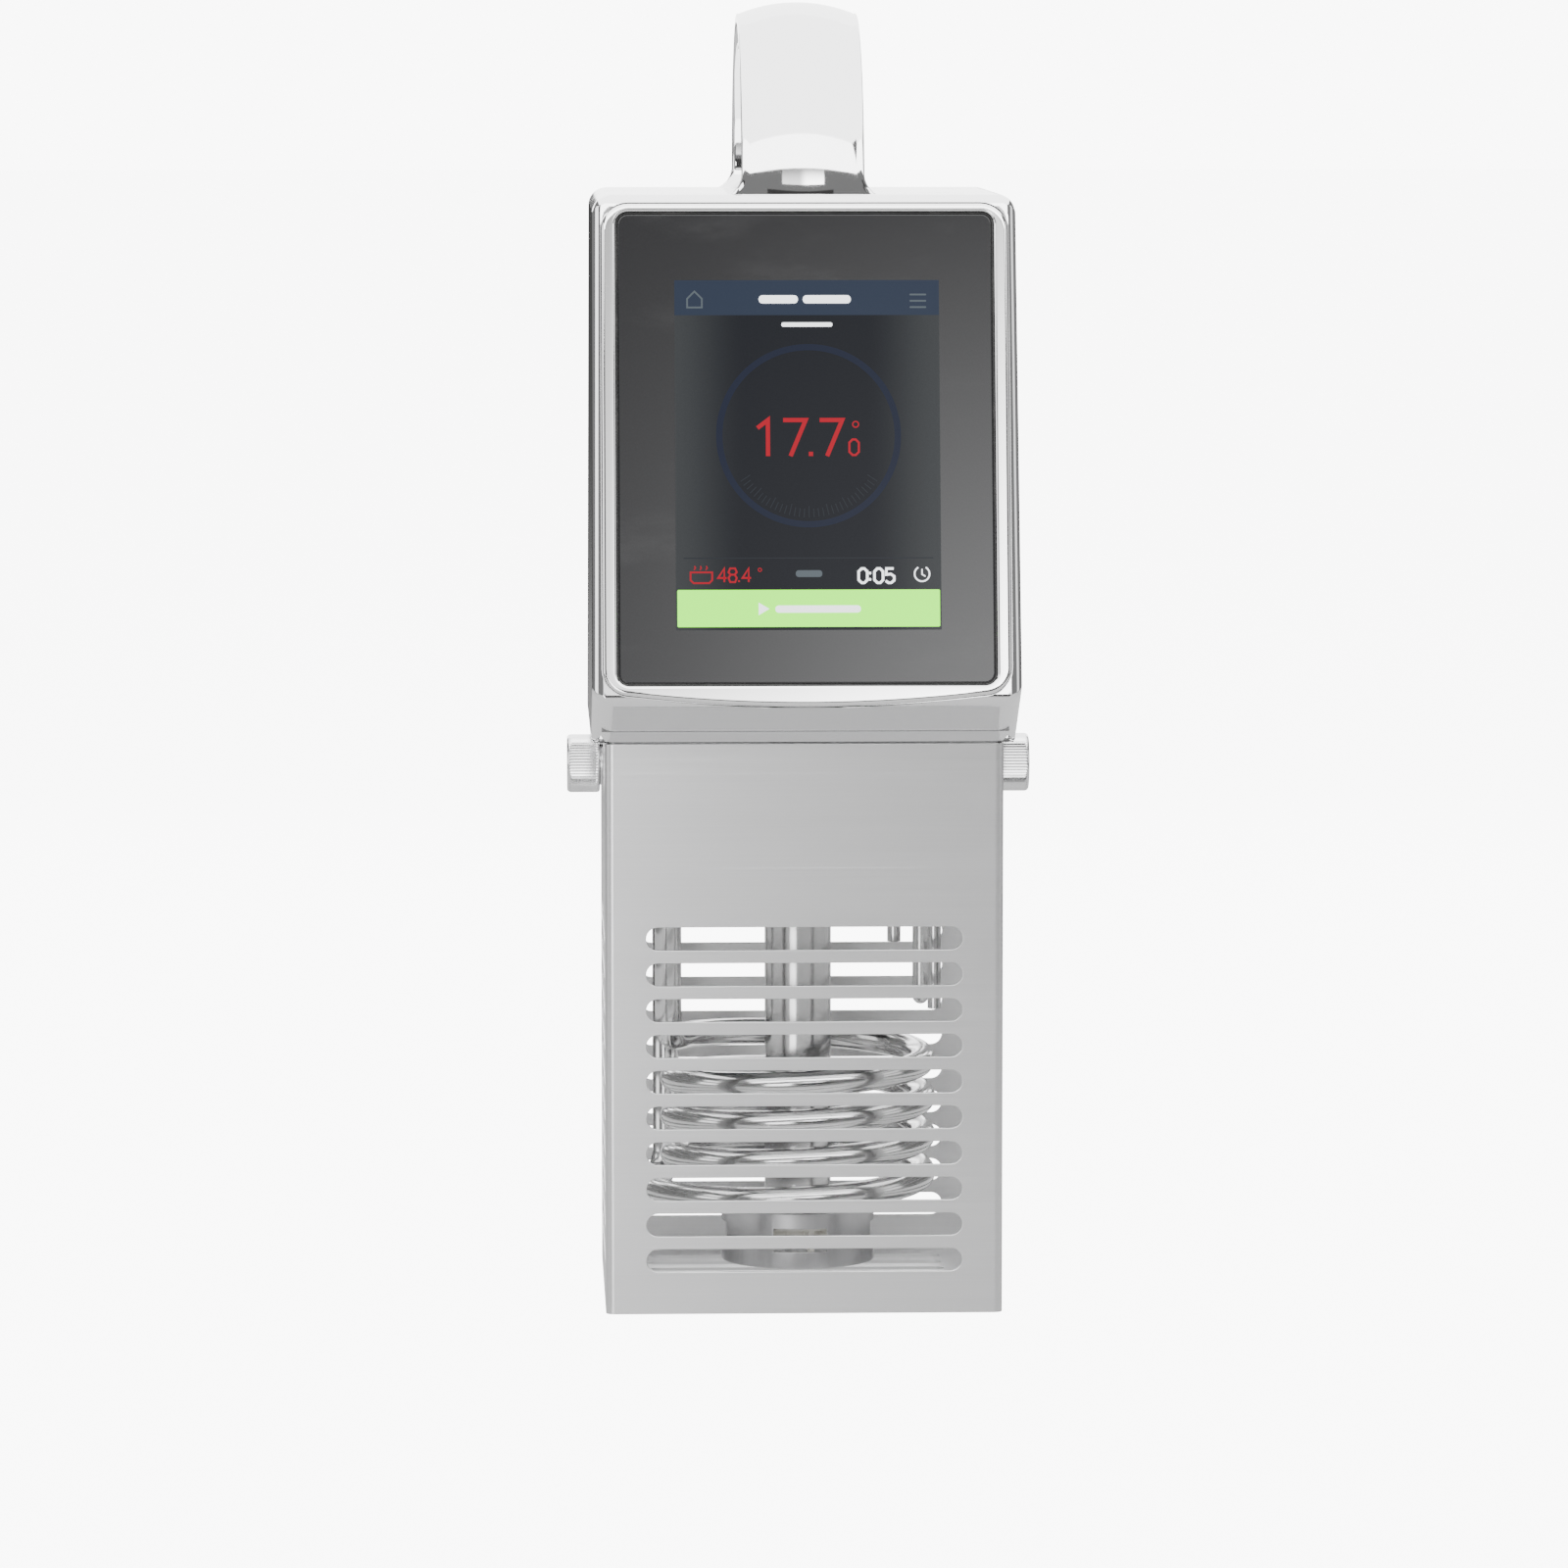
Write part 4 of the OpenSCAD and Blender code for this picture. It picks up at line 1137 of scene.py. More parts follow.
@dataclass
class Display:
    """Lit picture under the glass, drawn as thin flat shapes in the display's own grid of units.

    The grid is 270 units wide with its origin in the display's upper left corner.
    """

    face: LeaningFace
    width: float = 77.0
    height: float = 102.4
    middle: float = 72.8
    shift: float = 0.5
    units: float = 270.0
    rows: float = 359.06
    lift: float = 0.02
    layer: float = 0.012
    sheets: dict[Ink, bmesh.types.BMesh] = field(default_factory=dict)

    def spot(self, x: float, y: float, lift: float) -> Vector:
        """Place of a grid point.

        Args:
            x: grid units from the left.
            y: grid units from the top.
            lift: how far it stands off the plane.

        Returns:
            The place, in metres.
        """
        scale = self.width / self.units
        across = x * scale - self.width / 2 + self.shift
        return self.face.at(across, self.middle + self.height / 2 - y * scale, lift)

    def fill(self, ink: Ink, points: Sequence[Point2], level: int = 1) -> None:
        """Adds a flat filled shape on one of the thin levels.

        Args:
            ink: its colour.
            points: its outline in grid units.
            level: the thin level that it lies on.
        """
        data = self.sheets.setdefault(ink, bmesh.new())
        lift = self.lift + self.layer * level
        data.faces.new([data.verts.new(self.spot(x, y, lift)) for x, y in points])

    def bar(self, ink: Ink, x0: float, y0: float, x1: float, y1: float, r: float = 0.0,
            level: int = 1) -> None:
        """Adds a rectangle with round corners."""
        r = max(min(r, (x1 - x0) / 2, (y1 - y0) / 2), 0.01)
        self.fill(ink, rounded_outline(x1 - x0, y1 - y0, r, 6, ((x0 + x1) / 2, (y0 + y1) / 2)), level)

    def stroke(self, ink: Ink, points: Sequence[Point2], width: float, level: int = 2) -> None:
        """Adds a line with mitred corners and square ends.

        Args:
            ink: its colour.
            points: points along it in grid units.
            width: its width.
            level: the thin level that it lies on.
        """
        data = self.sheets.setdefault(ink, bmesh.new())
        lift = self.lift + self.layer * level
        path = [Vector(p) for p in points]
        closed = (path[0] - path[-1]).length < 1e-6
        rows = []
        for i, point in enumerate(path):
            before = path[i - 1] if i else (path[-2] if closed else point)
            after = path[i + 1] if i < len(path) - 1 else (path[1] if closed else point)
            a = (point - before).normalized() if before != point else (after - point).normalized()
            b = (after - point).normalized() if after != point else a
            normal = Vector((-(a.y + b.y), a.x + b.x))
            normal = normal.normalized() if normal.length > 1e-6 else Vector((-a.y, a.x))
            reach = width / 2 / max(normal.dot(Vector((-a.y, a.x))), 0.45)
            rows.append([data.verts.new(self.spot(*(point + s * reach * normal), lift)) for s in (-1, 1)])
        for low, high in zip(rows, rows[1:]):
            data.faces.new((low[0], high[0], high[1], low[1]))

    def digits(self, ink: Ink, text: str, x: float, y: float, height: float, width: float,
               gap: float) -> None:
        """Writes a number with its lower left corner at (x, y); a full stop or colon is narrow.

        Args:
            ink: their colour.
            text: the number.
            x: left edge.
            y: lower edge.
            height: height of a digit.
            width: width of a stroke.
            gap: room between two digits.
        """
        for sign in text:
            if sign in DIGITS:
                for line in DIGITS[sign]:
                    self.stroke(ink, [(x + px * height, y - py * height) for px, py in line], width)
                x += 0.62 * height + gap
            else:
                for rise in ((0.0,) if sign == "." else (0.15, 0.6)):
                    level = y - rise * height
                    self.bar(ink, x - width / 2, level - width, x + width / 2, level, 0.3, 3)
                x += width + gap * 0.9

    def circle(self, ink: Ink, x: float, y: float, r: float, width: float, start: float = 0.0,
               end: float = 360.0, steps: int = 48) -> None:
        """Draws a circle or an arc of one."""
        self.stroke(ink, arc((x, y), r, start, end, steps), width)

    def draw(self) -> None:
        """Draws every mark of the display."""
        self.header()
        self.dial()
        self.footer()

    def header(self) -> None:
        """Title bar with its house, two pills and the menu's three lines."""
        self.bar(Ink.HEADER, 0, 0, 270, 36)
        self.stroke(Ink.GREY, [(13, 19), (20.5, 11.5), (28, 19), (28, 28), (13, 28), (13, 19)], 1.8)
        self.bar(Ink.WHITE, 86, 15.5, 126, 24, 4, 2)
        self.bar(Ink.WHITE, 131, 15.5, 180, 24, 4, 2)
        for y in (14, 20.5, 27):
            self.bar(Ink.GREY, 240, y, 257, y + 1.8, 0.8, 2)
        self.bar(Ink.WHITE, 109, 43.5, 161, 48, 2, 2)

    def dial(self) -> None:
        """Round dial with its scale and the large reading."""
        x, y = 136.0, 160.0
        self.circle(Ink.NAVY, x, y, 91.0, 6.5, 0, 360, 120)
        for i in range(33):
            turn = math.radians(34 + i * 3.5)
            inner, outer = (75.0, 84.0) if i % 4 else (72.0, 84.0)
            ends = [(x + r * math.cos(turn), y + r * math.sin(turn)) for r in (inner, outer)]
            self.stroke(Ink.FAINT, ends, 1.1)
        self.digits(Ink.RED, "17.7", 82.0, 181.0, 37.0, 4.4, 5.2)
        self.circle(Ink.RED, 184.0, 148.5, 3.0, 1.3, 0, 360, 20)
        self.digits(Ink.RED, "0", 177.5, 180.0, 16.0, 2.2, 2.0)

    def footer(self) -> None:
        """Line with the set values, and the start button."""
        self.bar(Ink.FAINT, 8, 285, 262, 286)
        pan = [(15, 300), (15, 308), (18, 311), (34, 311), (37, 308), (37, 300), (15, 300)]
        self.stroke(Ink.RED, pan, 1.8)
        for x in (20, 26, 32):
            self.stroke(Ink.RED, [(x - 1.5, 297.5), (x, 295.5), (x - 1, 293.5)], 1.2)
        self.digits(Ink.RED, "48.4", 43, 310, 14, 1.9, 1.9)
        self.circle(Ink.RED, 85.5, 297.5, 1.7, 0.9, 0, 360, 16)
        self.bar(Ink.GREY, 122, 298, 149, 305, 3, 2)
        self.digits(Ink.WHITE, "0:05", 186, 311, 14.5, 2.5, 2.4)
        self.circle(Ink.WHITE, 250.5, 302, 7.6, 1.5, -60, 240, 40)
        self.stroke(Ink.WHITE, [(250.5, 297), (250.5, 302.5), (254, 304.5)], 1.3)
        self.bar(Ink.GREEN, 1.5, 318, 268.5, 356, 1.5)
        self.fill(Ink.WHITE, [(84, 331), (84, 344), (95, 337.5)], 2)
        self.bar(Ink.WHITE, 101, 334, 188, 341.5, 3.5, 2)

    def build(self) -> None:
        """Makes the lit ground and one piece for each colour of ink."""
        self.draw()
        ground = bmesh.new()
        corners = [(0, 0), (self.units, 0), (self.units, self.rows), (0, self.rows)]
        ground.faces.new([ground.verts.new(self.spot(x, y, self.lift)) for x, y in corners])
        panel = make_object("lit_ground", ground, LitPanel("lit_panel"))
        self.orient(panel)
        install(panel, "unit", "display")
        for ink, data in self.sheets.items():
            thing = make_object("marks_" + ink.value.name, data, ink.value)
            self.orient(thing)
            install(thing, "unit", "display")

    def orient(self, thing: bpy.types.Object) -> None:
        """Turns every face of a flat piece outwards.

        Args:
            thing: the piece.
        """
        out = (self.face.at(0, 0, 1) - self.face.at(0, 0, 0)).normalized()
        mesh = bmesh.new()
        mesh.from_mesh(thing.data)
        bmesh.ops.reverse_faces(mesh, faces=[f for f in mesh.faces if f.normal.dot(out) < 0])
        mesh.to_mesh(thing.data)
        mesh.free()


# ---------------------------------------------------------------- handle


@dataclass
class Handle:
    """Crowned strap swept over the head, with roots that flare into the roof."""

    width: float = 36.0
    thick: float = 7.0
    crown: float = 3.7
    middle: float = 13.98
    top: float = 385.0
    roof: float = 329.0
    front_r: float = 60.0
    rear_r: float = 50.0
    edge_r: float = 1.3
    cove: float = 7.0
    sunk: float = 0.3
    strap: bpy.types.Object = field(init=False)

    def section(self) -> list[Point2]:
        """Strap's section as (across, out from its inner face).

        Returns:
            The points round the section.
        """
        half = self.width / 2
        bow = (half * half + self.crown ** 2) / (2 * self.crown)
        swing = math.degrees(math.asin((half - 0.9) / bow))
        points = arc((0, self.thick - bow), bow, 90 - swing, 90 + swing, 22)
        shoulder = self.thick - self.crown
        left = arc((-half + self.edge_r, shoulder - 0.45), self.edge_r, 128, 180, 5)
        low = arc((-half + self.edge_r, self.edge_r), self.edge_r, 180, 270, 6)
        points += left[1:] + low
        points += [(-half / 2, 0.0), (0.0, 0.0), (half / 2, 0.0)]
        points += [(-x, y) for x, y in reversed(low)]
        points += [(-x, y) for x, y in reversed(left[1:])]
        return points

    def stations(self) -> list[tuple[Vector, Vector, float, float]]:
        """Rings as (centre of bend, outward direction, radius, distance from the nearer root).

        Returns:
            The rings, from the front root to the rear one.
        """
        near = [0, 0.12, 0.35, 0.7, 1.2, 1.9, 2.8, 3.8, 4.9, 6.0, 7.2]
        rings = []
        foot = self.roof - self.sunk
        start = 180 - math.degrees(math.asin((foot - self.top + self.front_r) / self.front_r))
        length = math.radians(start - 90) * self.front_r - near[-1]
        centre = Vector((0, self.middle, self.top - self.front_r))
        for s in near + [near[-1] + length * (i + 1) / 36 for i in range(36)]:
            turn = math.radians(start) - s / self.front_r
            rings.append((centre, Vector((0, math.cos(turn), math.sin(turn))), self.front_r, s))
        straight = self.top - self.rear_r - foot
        length = math.pi / 2 * self.rear_r + straight - near[-1]
        centre = Vector((0, self.middle, self.top - self.rear_r))
        for s in reversed(near + [near[-1] + length * (i + 1) / 34 for i in range(33)]):
            turn = max(s - straight, 0.0) / self.rear_r
            drop = Vector((0, 0, max(straight - s, 0.0)))
            rings.append((centre - drop, Vector((0, math.cos(turn), math.sin(turn))), self.rear_r, s))
        return rings

    def build(self) -> None:
        """Sweeps the section, adding the cove at both roots."""
        data = bmesh.new()
        section, loops = self.section(), []
        rings = self.stations()
        for i, (centre, out, radius, s) in enumerate(rings):
            left = max(self.cove - s, 0.0)
            flare = self.cove - math.sqrt(max(self.cove ** 2 - left ** 2, 0.0))
            front = i < len(rings) / 2
            loop = []
            for x, h in section:
                share = x / (self.width / 2)
                lift = h / self.thick
                outwards = 0.0 if front else 0.18 * flare * lift
                inwards = flare * (1 - lift) * (1 - 0.25 * share * share)
                across = x + 0.9 * flare * share
                place = centre + out * (radius - self.thick + h + outwards - inwards)
                height = max(place.z, self.roof - self.sunk)
                loop.append(Vector((across, place.y, height)) * MM)
            loops.append(loop)
        loft(data, loops, caps=True)
        self.strap = make_object("handle_strap", data, Look.CAST.value, 75)

    def dress(self) -> None:
        """Stands in for the frame's handle."""
        install(self.strap, "unit", "cast_body", "handle")


# ---------------------------------------------------------------- guard, heater, thumb screws


@dataclass
class Guard:
    """Slotted sheet, cut flat and then folded round the heater."""

    width: float = 117.0
    depth: float = 110.0
    height: float = 168.7
    thick: float = 1.2
    bend: float = 2.5
    slots: int = 10
    pitch: float = 10.6
    slot: float = 6.8
    lowest: float = 15.9
    margin: float = 12.0
    notch: Point2 = (6.8, 158.0)
    edge: float = 0.16
    seam: float = 0.02
    bend_steps: int = 8
    sheet: bpy.types.Object = field(init=False)

    def walls(self) -> list[tuple[float, Vector, float]]:
        """Walls in their order round the guard: flat length, way they run, and whole width.

        Returns:
            The four walls.
        """
        ways = ((1, 0), (0, -1), (-1, 0), (0, 1))
        sizes = (self.width, self.depth) * 2
        return [(size - 2 * self.bend, Vector((*way, 0)), size) for size, way in zip(sizes, ways)]

    def fold(self, s: float, z: float, w: float) -> Vector:
        """Place in space of a point on the flat sheet, with w the depth under its outer face.

        Args:
            s: distance along the sheet.
            z: height.
            w: depth, below zero under the outer face.

        Returns:
            The place in millimetres.
        """
        place = Vector((-self.width / 2 + self.bend, self.depth / 2, 0))
        corner = math.pi / 2 * self.bend
        for index, (flat, way, _) in enumerate(self.walls()):
            out = Vector((-way.y, way.x, 0))
            if s <= flat:
                return place + way * s + out * w + Vector((0, 0, z))
            if s <= flat + corner or index == 3:
                turn = (s - flat) / self.bend
                centre = place + way * flat - out * self.bend
                ray = out * math.cos(turn) + way * math.sin(turn)
                return centre + ray * (self.bend + w) + Vector((0, 0, z))
            s -= flat + corner
            place = place + way * (flat + self.bend) - out * self.bend
        return place

    def flat_outline(self) -> tuple[list[Point2], list[list[Point2]], list[float]]:
        """Outline of the flat sheet, its slots, and where its bends start and end.

        Returns:
            The outline, the slots and the places of the bends.
        """
        corner = math.pi / 2 * self.bend
        top, holes, bends, s = [], [], [], 0.0
        for index, (flat, _, whole) in enumerate(self.walls()):
            middle = s + flat / 2
            for row in range(self.slots):
                centre = (middle, self.lowest + row * self.pitch)
                holes.append(slot_outline(whole - 2 * self.margin, self.slot, centre))
            if index % 2:
                r = self.notch[0] / 2
                top += [(middle - r, self.height), *arc((middle, self.notch[1]), r, 180, 360, 16),
                        (middle + r, self.height)]
            bends += [s + flat, s + flat + corner]
            s += flat + corner
        end = s - self.seam
        outline = [(0.0, 0.0), (end, 0.0), (end, self.height), *reversed(top), (0.0, self.height)]
        return outline, holes, bends

    def build(self) -> None:
        """Cuts the sheet flat, splits it along its bends and folds it."""
        outline, holes, bends = self.flat_outline()
        flat = sheet_mesh(outline, holes, self.thick, self.edge)
        data = bmesh.new()
        data.from_mesh(flat)
        bpy.data.meshes.remove(flat)
        for low, high in zip(bends[::2], bends[1::2]):
            for i in range(self.bend_steps + 1):
                last = high == bends[-1] and i == self.bend_steps
                where = low + (high - low) * i / self.bend_steps - (self.seam * 1.5 if last else 0)
                geometry = [*data.verts, *data.edges, *data.faces]
                bmesh.ops.bisect_plane(data, geom=geometry, plane_co=(where, 0, 0), plane_no=(1, 0, 0))
        for vertex in data.verts:
            vertex.co = self.fold(vertex.co.x, vertex.co.y, vertex.co.z) * MM
        self.sheet = make_object("guard_sheet", data, Look.SHEET.value, 40)

    def dress(self) -> None:
        """Stands in for the frame's guard."""
        even_shading(self.sheet, 40)
        install(self.sheet, "guard", "brushed_sheet", "guard_shell")


@dataclass
class Heater:
    """Round heating element, swept down a riser, round the coil and up the return."""

    coil_r: float = 37.5
    tube: float = 8.0
    pitch: float = 11.5
    coil_z: float = 27.0
    turns: float = 4.0
    riser_r: float = 39.0
    back: Point2 = (-39.05, 40.0)
    end: float = 185.5
    coil: bpy.types.Object = field(init=False)

    @staticmethod
    def polar(r: float, angle: float, z: float) -> Vector:
        """Point at a radius, an angle in degrees and a height."""
        return Vector((r * math.cos(math.radians(angle)), r * math.sin(math.radians(angle)), z))

    def path(self) -> list[Vector]:
        """Middle line of the element in millimetres.

        Returns:
            The line's points.
        """
        back_r, back_a = math.hypot(*self.back), math.degrees(math.atan2(self.back[1], self.back[0]))
        wind = 360 * self.turns + 180 - back_a
        top = self.coil_z + self.pitch * wind / 360
        points = [self.polar(self.riser_r, 180, self.end), self.polar(self.riser_r, 180, top + 9),
                  self.polar(self.riser_r - 0.3, 178.6, top + 4),
                  self.polar(self.riser_r - 0.8, 174, top + 0.9)]
        step = 15.0
        for i in range(1, int(wind / step)):
            a = i * step
            s = max(0.0, (a - wind + 90) / 90)
            points.append(self.polar(self.coil_r + (back_r - self.coil_r) * s * s, 180 - a,
                                     max(self.coil_z, top - self.pitch * a / 360)))
        points += [self.polar(back_r - 2, back_a + 5, self.coil_z + 0.7),
                   self.polar(back_r, back_a + 1.4, self.coil_z + 3.6),
                   self.polar(back_r, back_a, self.coil_z + 8), self.polar(back_r, back_a, self.end)]
        return points

    def build(self) -> None:
        """Sweeps the element."""
        points = self.path()
        line = [points[0]] + smooth_path(points[1:-1], 3) + [points[-1]]
        data = bmesh.new()
        sweep(data, [p * MM for p in line], self.tube / 2 * MM, 24)
        self.coil = make_object("heater_tube", data, Look.TUBE.value, 60)

    def dress(self) -> None:
        """Stands in for the frame's heater."""
        install(self.coil, "unit", "heater", "heater_coil")


@dataclass
class ThumbScrew:
    """Knurled screw on one side of the guard; side is -1 for the left."""

    side: int
    z: float = 158.0
    inner: float = 46.1
    seat: float = 59.4
    radius: float = 8.7
    thread: float = 3.0
    knurls: int = 60
    knurl: float = 0.34
    screw: bpy.types.Object = field(init=False)

    def hand(self) -> str:
        """Word for its side."""
        return "left" if self.side < 0 else "right"

    def place(self, x: float, y: float, h: float) -> Vector:
        """Place of a point at h along the screw's axis."""
        return Vector((self.side * h, x, y + self.z)) * MM

    def profile(self) -> list[tuple[float, float, bool]]:
        """Rows of (radius, distance along the axis, knurled or not).

        Returns:
            The rows, from the tip to the head.
        """
        rows, step = [(0.4, self.inner, False), (self.thread - 0.5, self.inner, False)], 0.5
        place = self.inner + 0.4
        while place < self.seat - 1.6:
            rows += [(self.thread, place, False), (self.thread - 0.28, place + step / 2, False)]
            place += step
        rows += [(self.thread - 0.2, place, False), (self.thread - 0.2, self.seat, False)]
        head = ((0.86, 0.0), (0.92, 0.0), (0.975, 0.25), (0.99, 0.6))
        rows += [(self.radius * share, self.seat + rise, False) for share, rise in head]
        rows += [(self.radius, self.seat + rise, True) for rise in (0.9, 1.3, 3.5, 6.0, 8.3, 8.8)]
        head = ((0.99, 9.05), (0.965, 9.5), (0.92, 9.78), (0.87, 9.8), (0.84, 9.72), (0.80, 9.3),
                (0.76, 9.22), (0.3, 9.2), (0.02, 9.2))
        rows += [(self.radius * share, self.seat + rise, False) for share, rise in head]
        return rows

    def build(self) -> None:
        """Turns the screw and presses its knurls."""
        rows = self.profile()

        def shape(angle: float, row: int) -> float:
            """Factor on the radius for the knurls.

            Args:
                angle: angle in radians.
                row: row of the profile.

            Returns:
                The factor.
            """
            if not rows[row][2]:
                return 1.0
            tooth = abs((angle * self.knurls / (2 * math.pi)) % 1.0 - 0.5) * 2
            return 1 - self.knurl / self.radius * tooth

        data = bmesh.new()
        lathe(data, [(r, h) for r, h, _ in rows], self.knurls * 4, self.place, shape)
        self.screw = make_object(f"thumb_knob_{self.hand()}", data, Look.SCREW.value, 32)

    def dress(self) -> None:
        """Stands in for the frame's screw."""
        hand = self.hand()
        install(self.screw, f"thumb_{hand}", "knurled_steel", f"thumb_screw_{hand}")


# ---------------------------------------------------------------- other pieces


@dataclass(frozen=True)
class Dress:
    """Finish and broken edge for some of the frame's own nodes."""

    look: Look
    nodes: tuple[str, ...]
    edge: float = 0.3


class Fittings:
    """The rest of the pieces, which keep their shape and get broken edges and finishes."""

    dresses = (
        Dress(Look.PLATE, ("display_bracket", "base_plate", "motor_bracket", "pump_housing",
                           "heat_sink"), 0.2),
        Dress(Look.SHEET, ("guard_base", "guard_collar", "clamp_bracket"), 0.25),
        Dress(Look.TUBE, ("drive_shaft", "shaft_tube", "temperature_probe", "level_probes",
                          "clamp_spindle"), 0.25),
        Dress(Look.SCREW, ("thumb_washer_left", "thumb_washer_right", "handle_screws", "display_screws",
                           "rear_cover_screws", "base_screws", "bracket_screws", "bearing_upper",
                           "bearing_lower", "motor_rotor", "clamp_pad"), 0.12),
        Dress(Look.BRASS, ("heater_nuts", "probe_nuts", "board_spacers"), 0.25),
        Dress(Look.SEAL, ("rear_gasket", "base_gasket", "shaft_seal", "pad_facing"), 0.15),
        Dress(Look.COVER, ("rear_cover",), 0.25),
        Dress(Look.BLACK, ("relay", "fan_frame", "fan_rotor", "switch_body", "cable_gland", "gland_nut",
                           "clamp_knob"), 0.35),
        Dress(Look.WHITE, ("shaft_bush", "impeller"), 0.2),
        Dress(Look.RED, ("rocker",), 0.5),
        Dress(Look.SLEEVE, ("capacitor",), 0.5),
        Dress(Look.PAINT, ("motor_can",), 0.6),
        Dress(Look.BOARD, ("control_board", "power_board", "terminal_block"), 0.1),
        Dress(Look.COPPER, ("motor_stator",), 0.3),
        Dress(Look.GLASS, ("display_panel",), 0.2),
    )

    def dress(self, nodes: dict[str, bpy.types.Object]) -> None:
        """Gives every node that still shows its finish and broken edges.

        Args:
            nodes: the frame's nodes by name.
        """
        for entry in self.dresses:
            for name in entry.nodes:
                thing = nodes[name]
                thing.data.materials.clear()
                thing.data.materials.append(entry.look.value.material())
                self.break_edges(thing, entry.edge)

    @staticmethod
    def break_edges(thing: bpy.types.Object, width: float) -> None:
        """Joins a node's split corners, rounds its sharp edges and evens its shading.

        Args:
            thing: the node.
            width: width of its rounds in millimetres.
        """
        thing.modifiers.new("join", "WELD").merge_threshold = 1e-6
        bevel = thing.modifiers.new("edges", "BEVEL")
        bevel.width = width * MM
        bevel.segments = 2
        bevel.limit_method = "ANGLE"
        bevel.angle_limit = math.radians(40)
        bevel.harden_normals = False
        thing.modifiers.new("even", "WEIGHTED_NORMAL").keep_sharp = True


# ---------------------------------------------------------------- stage


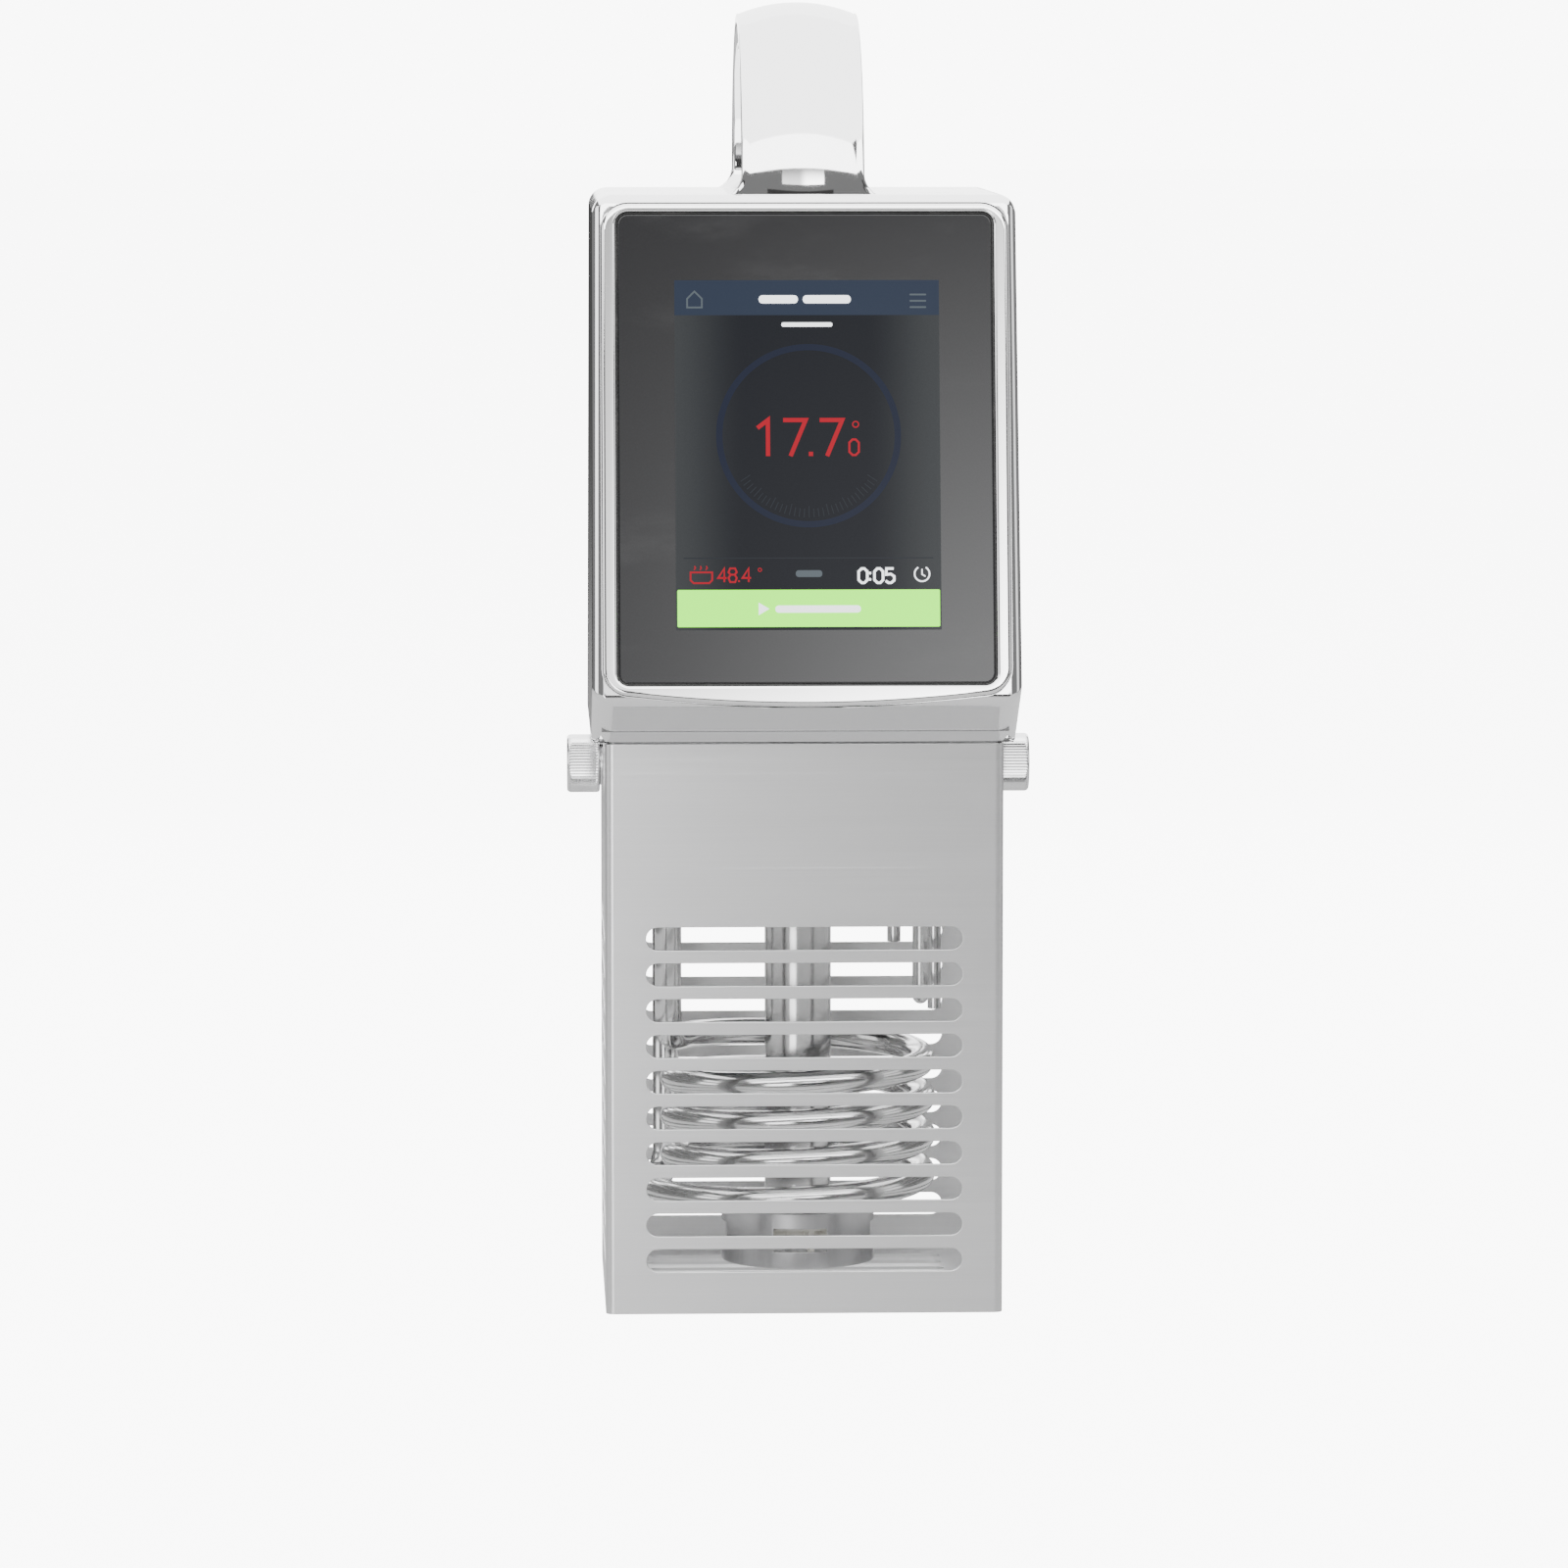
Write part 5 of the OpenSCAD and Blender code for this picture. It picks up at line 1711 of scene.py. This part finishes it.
@dataclass
class Studio:
    """Pale table, low enough to leave room for the lowered guard, with light cards and the camera."""

    ground: float = -0.1712
    table_size: float = 30.0
    table_seen: float = 8.4
    surround: float = 0.24
    surround_seen: float = 9.0
    cards: list[bpy.types.Object] = field(default_factory=list)

    def card(self, name: str, centre: Sequence[float], size: Point2, aim: Sequence[float], glow: float,
             fade: Optional[tuple[float, float, float]] = None) -> None:
        """Adds a glowing card, or a dark one where its glow is small.

        Args:
            name: the card's name.
            centre: its middle.
            size: its width and height.
            aim: the point that it faces.
            glow: its glow.
            fade: for a card that fades to the left and upwards: its least glow, and half the width and
                height of the fade.
        """
        mesh = bpy.data.meshes.new(name)
        w, h = size[0] / 2, size[1] / 2
        mesh.from_pydata([(-w, -h, 0), (w, -h, 0), (w, h, 0), (-w, h, 0)], [], [(0, 1, 2, 3)])
        thing = bpy.data.objects.new(name, mesh)
        bpy.context.scene.collection.objects.link(thing)
        thing.location = centre
        thing.rotation_euler = (Vector(aim) - Vector(centre)).to_track_quat("Z", "Y").to_euler()
        canvas = Canvas(name)
        canvas.set(Base_Color=(0.0, 0.0, 0.0), Roughness=1.0, Specular_IOR_Level=0.0, Emission_Strength=1.0)
        if fade is None:
            canvas.set(Emission_Color=(glow, glow, glow))
        else:
            least, wide, high = fade
            right = (0.0 - canvas.axis("X")).ramp(-wide, wide)
            low = 1 - canvas.axis("Y").ramp(-high, high)
            canvas.set(Emission_Color=least + (glow - least) * low * (0.25 + 0.75 * right))
        mesh.materials.append(canvas.material)
        thing.visible_camera = False
        self.cards.append(thing)

    def table(self) -> None:
        """Adds the pale table."""
        mesh = bpy.data.meshes.new("table")
        size = self.table_size
        corners = [(x * size, y * size, self.ground) for x, y in ((-1, -1), (1, -1), (1, 1), (-1, 1))]
        mesh.from_pydata(corners, [], [(0, 1, 2, 3)])
        thing = bpy.data.objects.new("table", mesh)
        bpy.context.scene.collection.objects.link(thing)
        canvas = Canvas("table_top")
        mottle = canvas.noise((3, 3, 3), 4.0)
        seen = Value(canvas, canvas.node("ShaderNodeLightPath", {}, {}).outputs["Is Camera Ray"])
        canvas.set(
            Base_Color=canvas.mix(mottle, (0.28, 0.28, 0.28), (0.31, 0.31, 0.31)),
            Roughness=0.45 + 0.1 * mottle,
            Specular_IOR_Level=0.0,
            Emission_Color=seen * self.table_seen,
            Emission_Strength=1.0,
        )
        mesh.materials.append(canvas.material)

    def world(self) -> None:
        """Sets a pale surround, seen brighter by the camera than by the object."""
        world = bpy.data.worlds.new("surround")
        bpy.context.scene.world = world
        world.use_nodes = True
        tree = NodeTree(world.node_tree)
        seen = tree.node("ShaderNodeLightPath", {}, {}).outputs["Is Camera Ray"]
        levels = {0: seen, 2: self.surround, 3: self.surround_seen}
        glow = tree.node("ShaderNodeMix", {"data_type": "FLOAT"}, levels).outputs[0]
        inputs = {"Color": (1.0, 1.0, 1.0, 1.0), "Strength": glow}
        background = tree.node("ShaderNodeBackground", {}, inputs)
        tree.node("ShaderNodeOutputWorld", {}, {"Surface": background.outputs[0]})

    def camera(self) -> None:
        """Sets a long lens in front of the screen, a little above it."""
        data = bpy.data.cameras.new("camera")
        data.lens = 174.15
        data.sensor_width = 36.0
        camera = bpy.data.objects.new("camera", data)
        camera.location = (-0.0832, -2.2645, 0.3737)
        camera.rotation_euler = (math.radians(90 - 5.6), 0.0, math.radians(-2))
        bpy.context.scene.collection.objects.link(camera)
        bpy.context.scene.camera = camera

    def build(self) -> None:
        """Sets the whole stage."""
        self.world()
        self.table()
        self.card("overhead", (0.0, 0.1, 2.6), (5.2, 5.4), (0.0, 0.1, 0.0), 4.6)
        self.card("high_front", (0.0, -2.6, 1.98), (5.2, 1.26), (0.0, 0.0, 1.98), 7.0)
        self.card("rear_sky", (0.0, 2.8, 1.4), (3.0, 2.2), (0.0, 0.0, 0.5), 5.0)
        self.card("glass_sky", (0.1, -2.6, 1.1), (1.5, 0.48), (0.1, 0.0, 1.1), 9.0, (0.5, 0.16, 0.34))
        self.card("left_light", (-2.1, -0.5, 0.7), (1.3, 1.3), (0.0, 0.0, 0.25), 2.6)
        self.card("right_light", (2.1, -0.3, 0.7), (0.9, 1.3), (0.0, 0.0, 0.25), 1.6)
        self.card("left_close", (-0.36, -1.1, 0.08), (0.42, 0.6), (0.0, 0.0, 0.1), 5.0)
        self.card("front_flag", (0.0, -2.75, 0.36), (2.6, 0.7), (0.0, 0.0, 0.36), 0.06)
        self.camera()


# ---------------------------------------------------------------- all together


def main() -> None:
    """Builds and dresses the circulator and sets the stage."""
    logging.basicConfig(level=logging.INFO, format="%(name)s: %(message)s")
    face = LeaningFace()
    for part in (HeadCasting(face), ScreenFront(face), Handle(), Guard(), Heater(), ThumbScrew(-1),
                 ThumbScrew(1)):
        part.build()
        part.dress()
    Display(face).build()
    Fittings().dress(frame["nodes"])
    Studio().build()


if __name__ == "__main__":
    main()
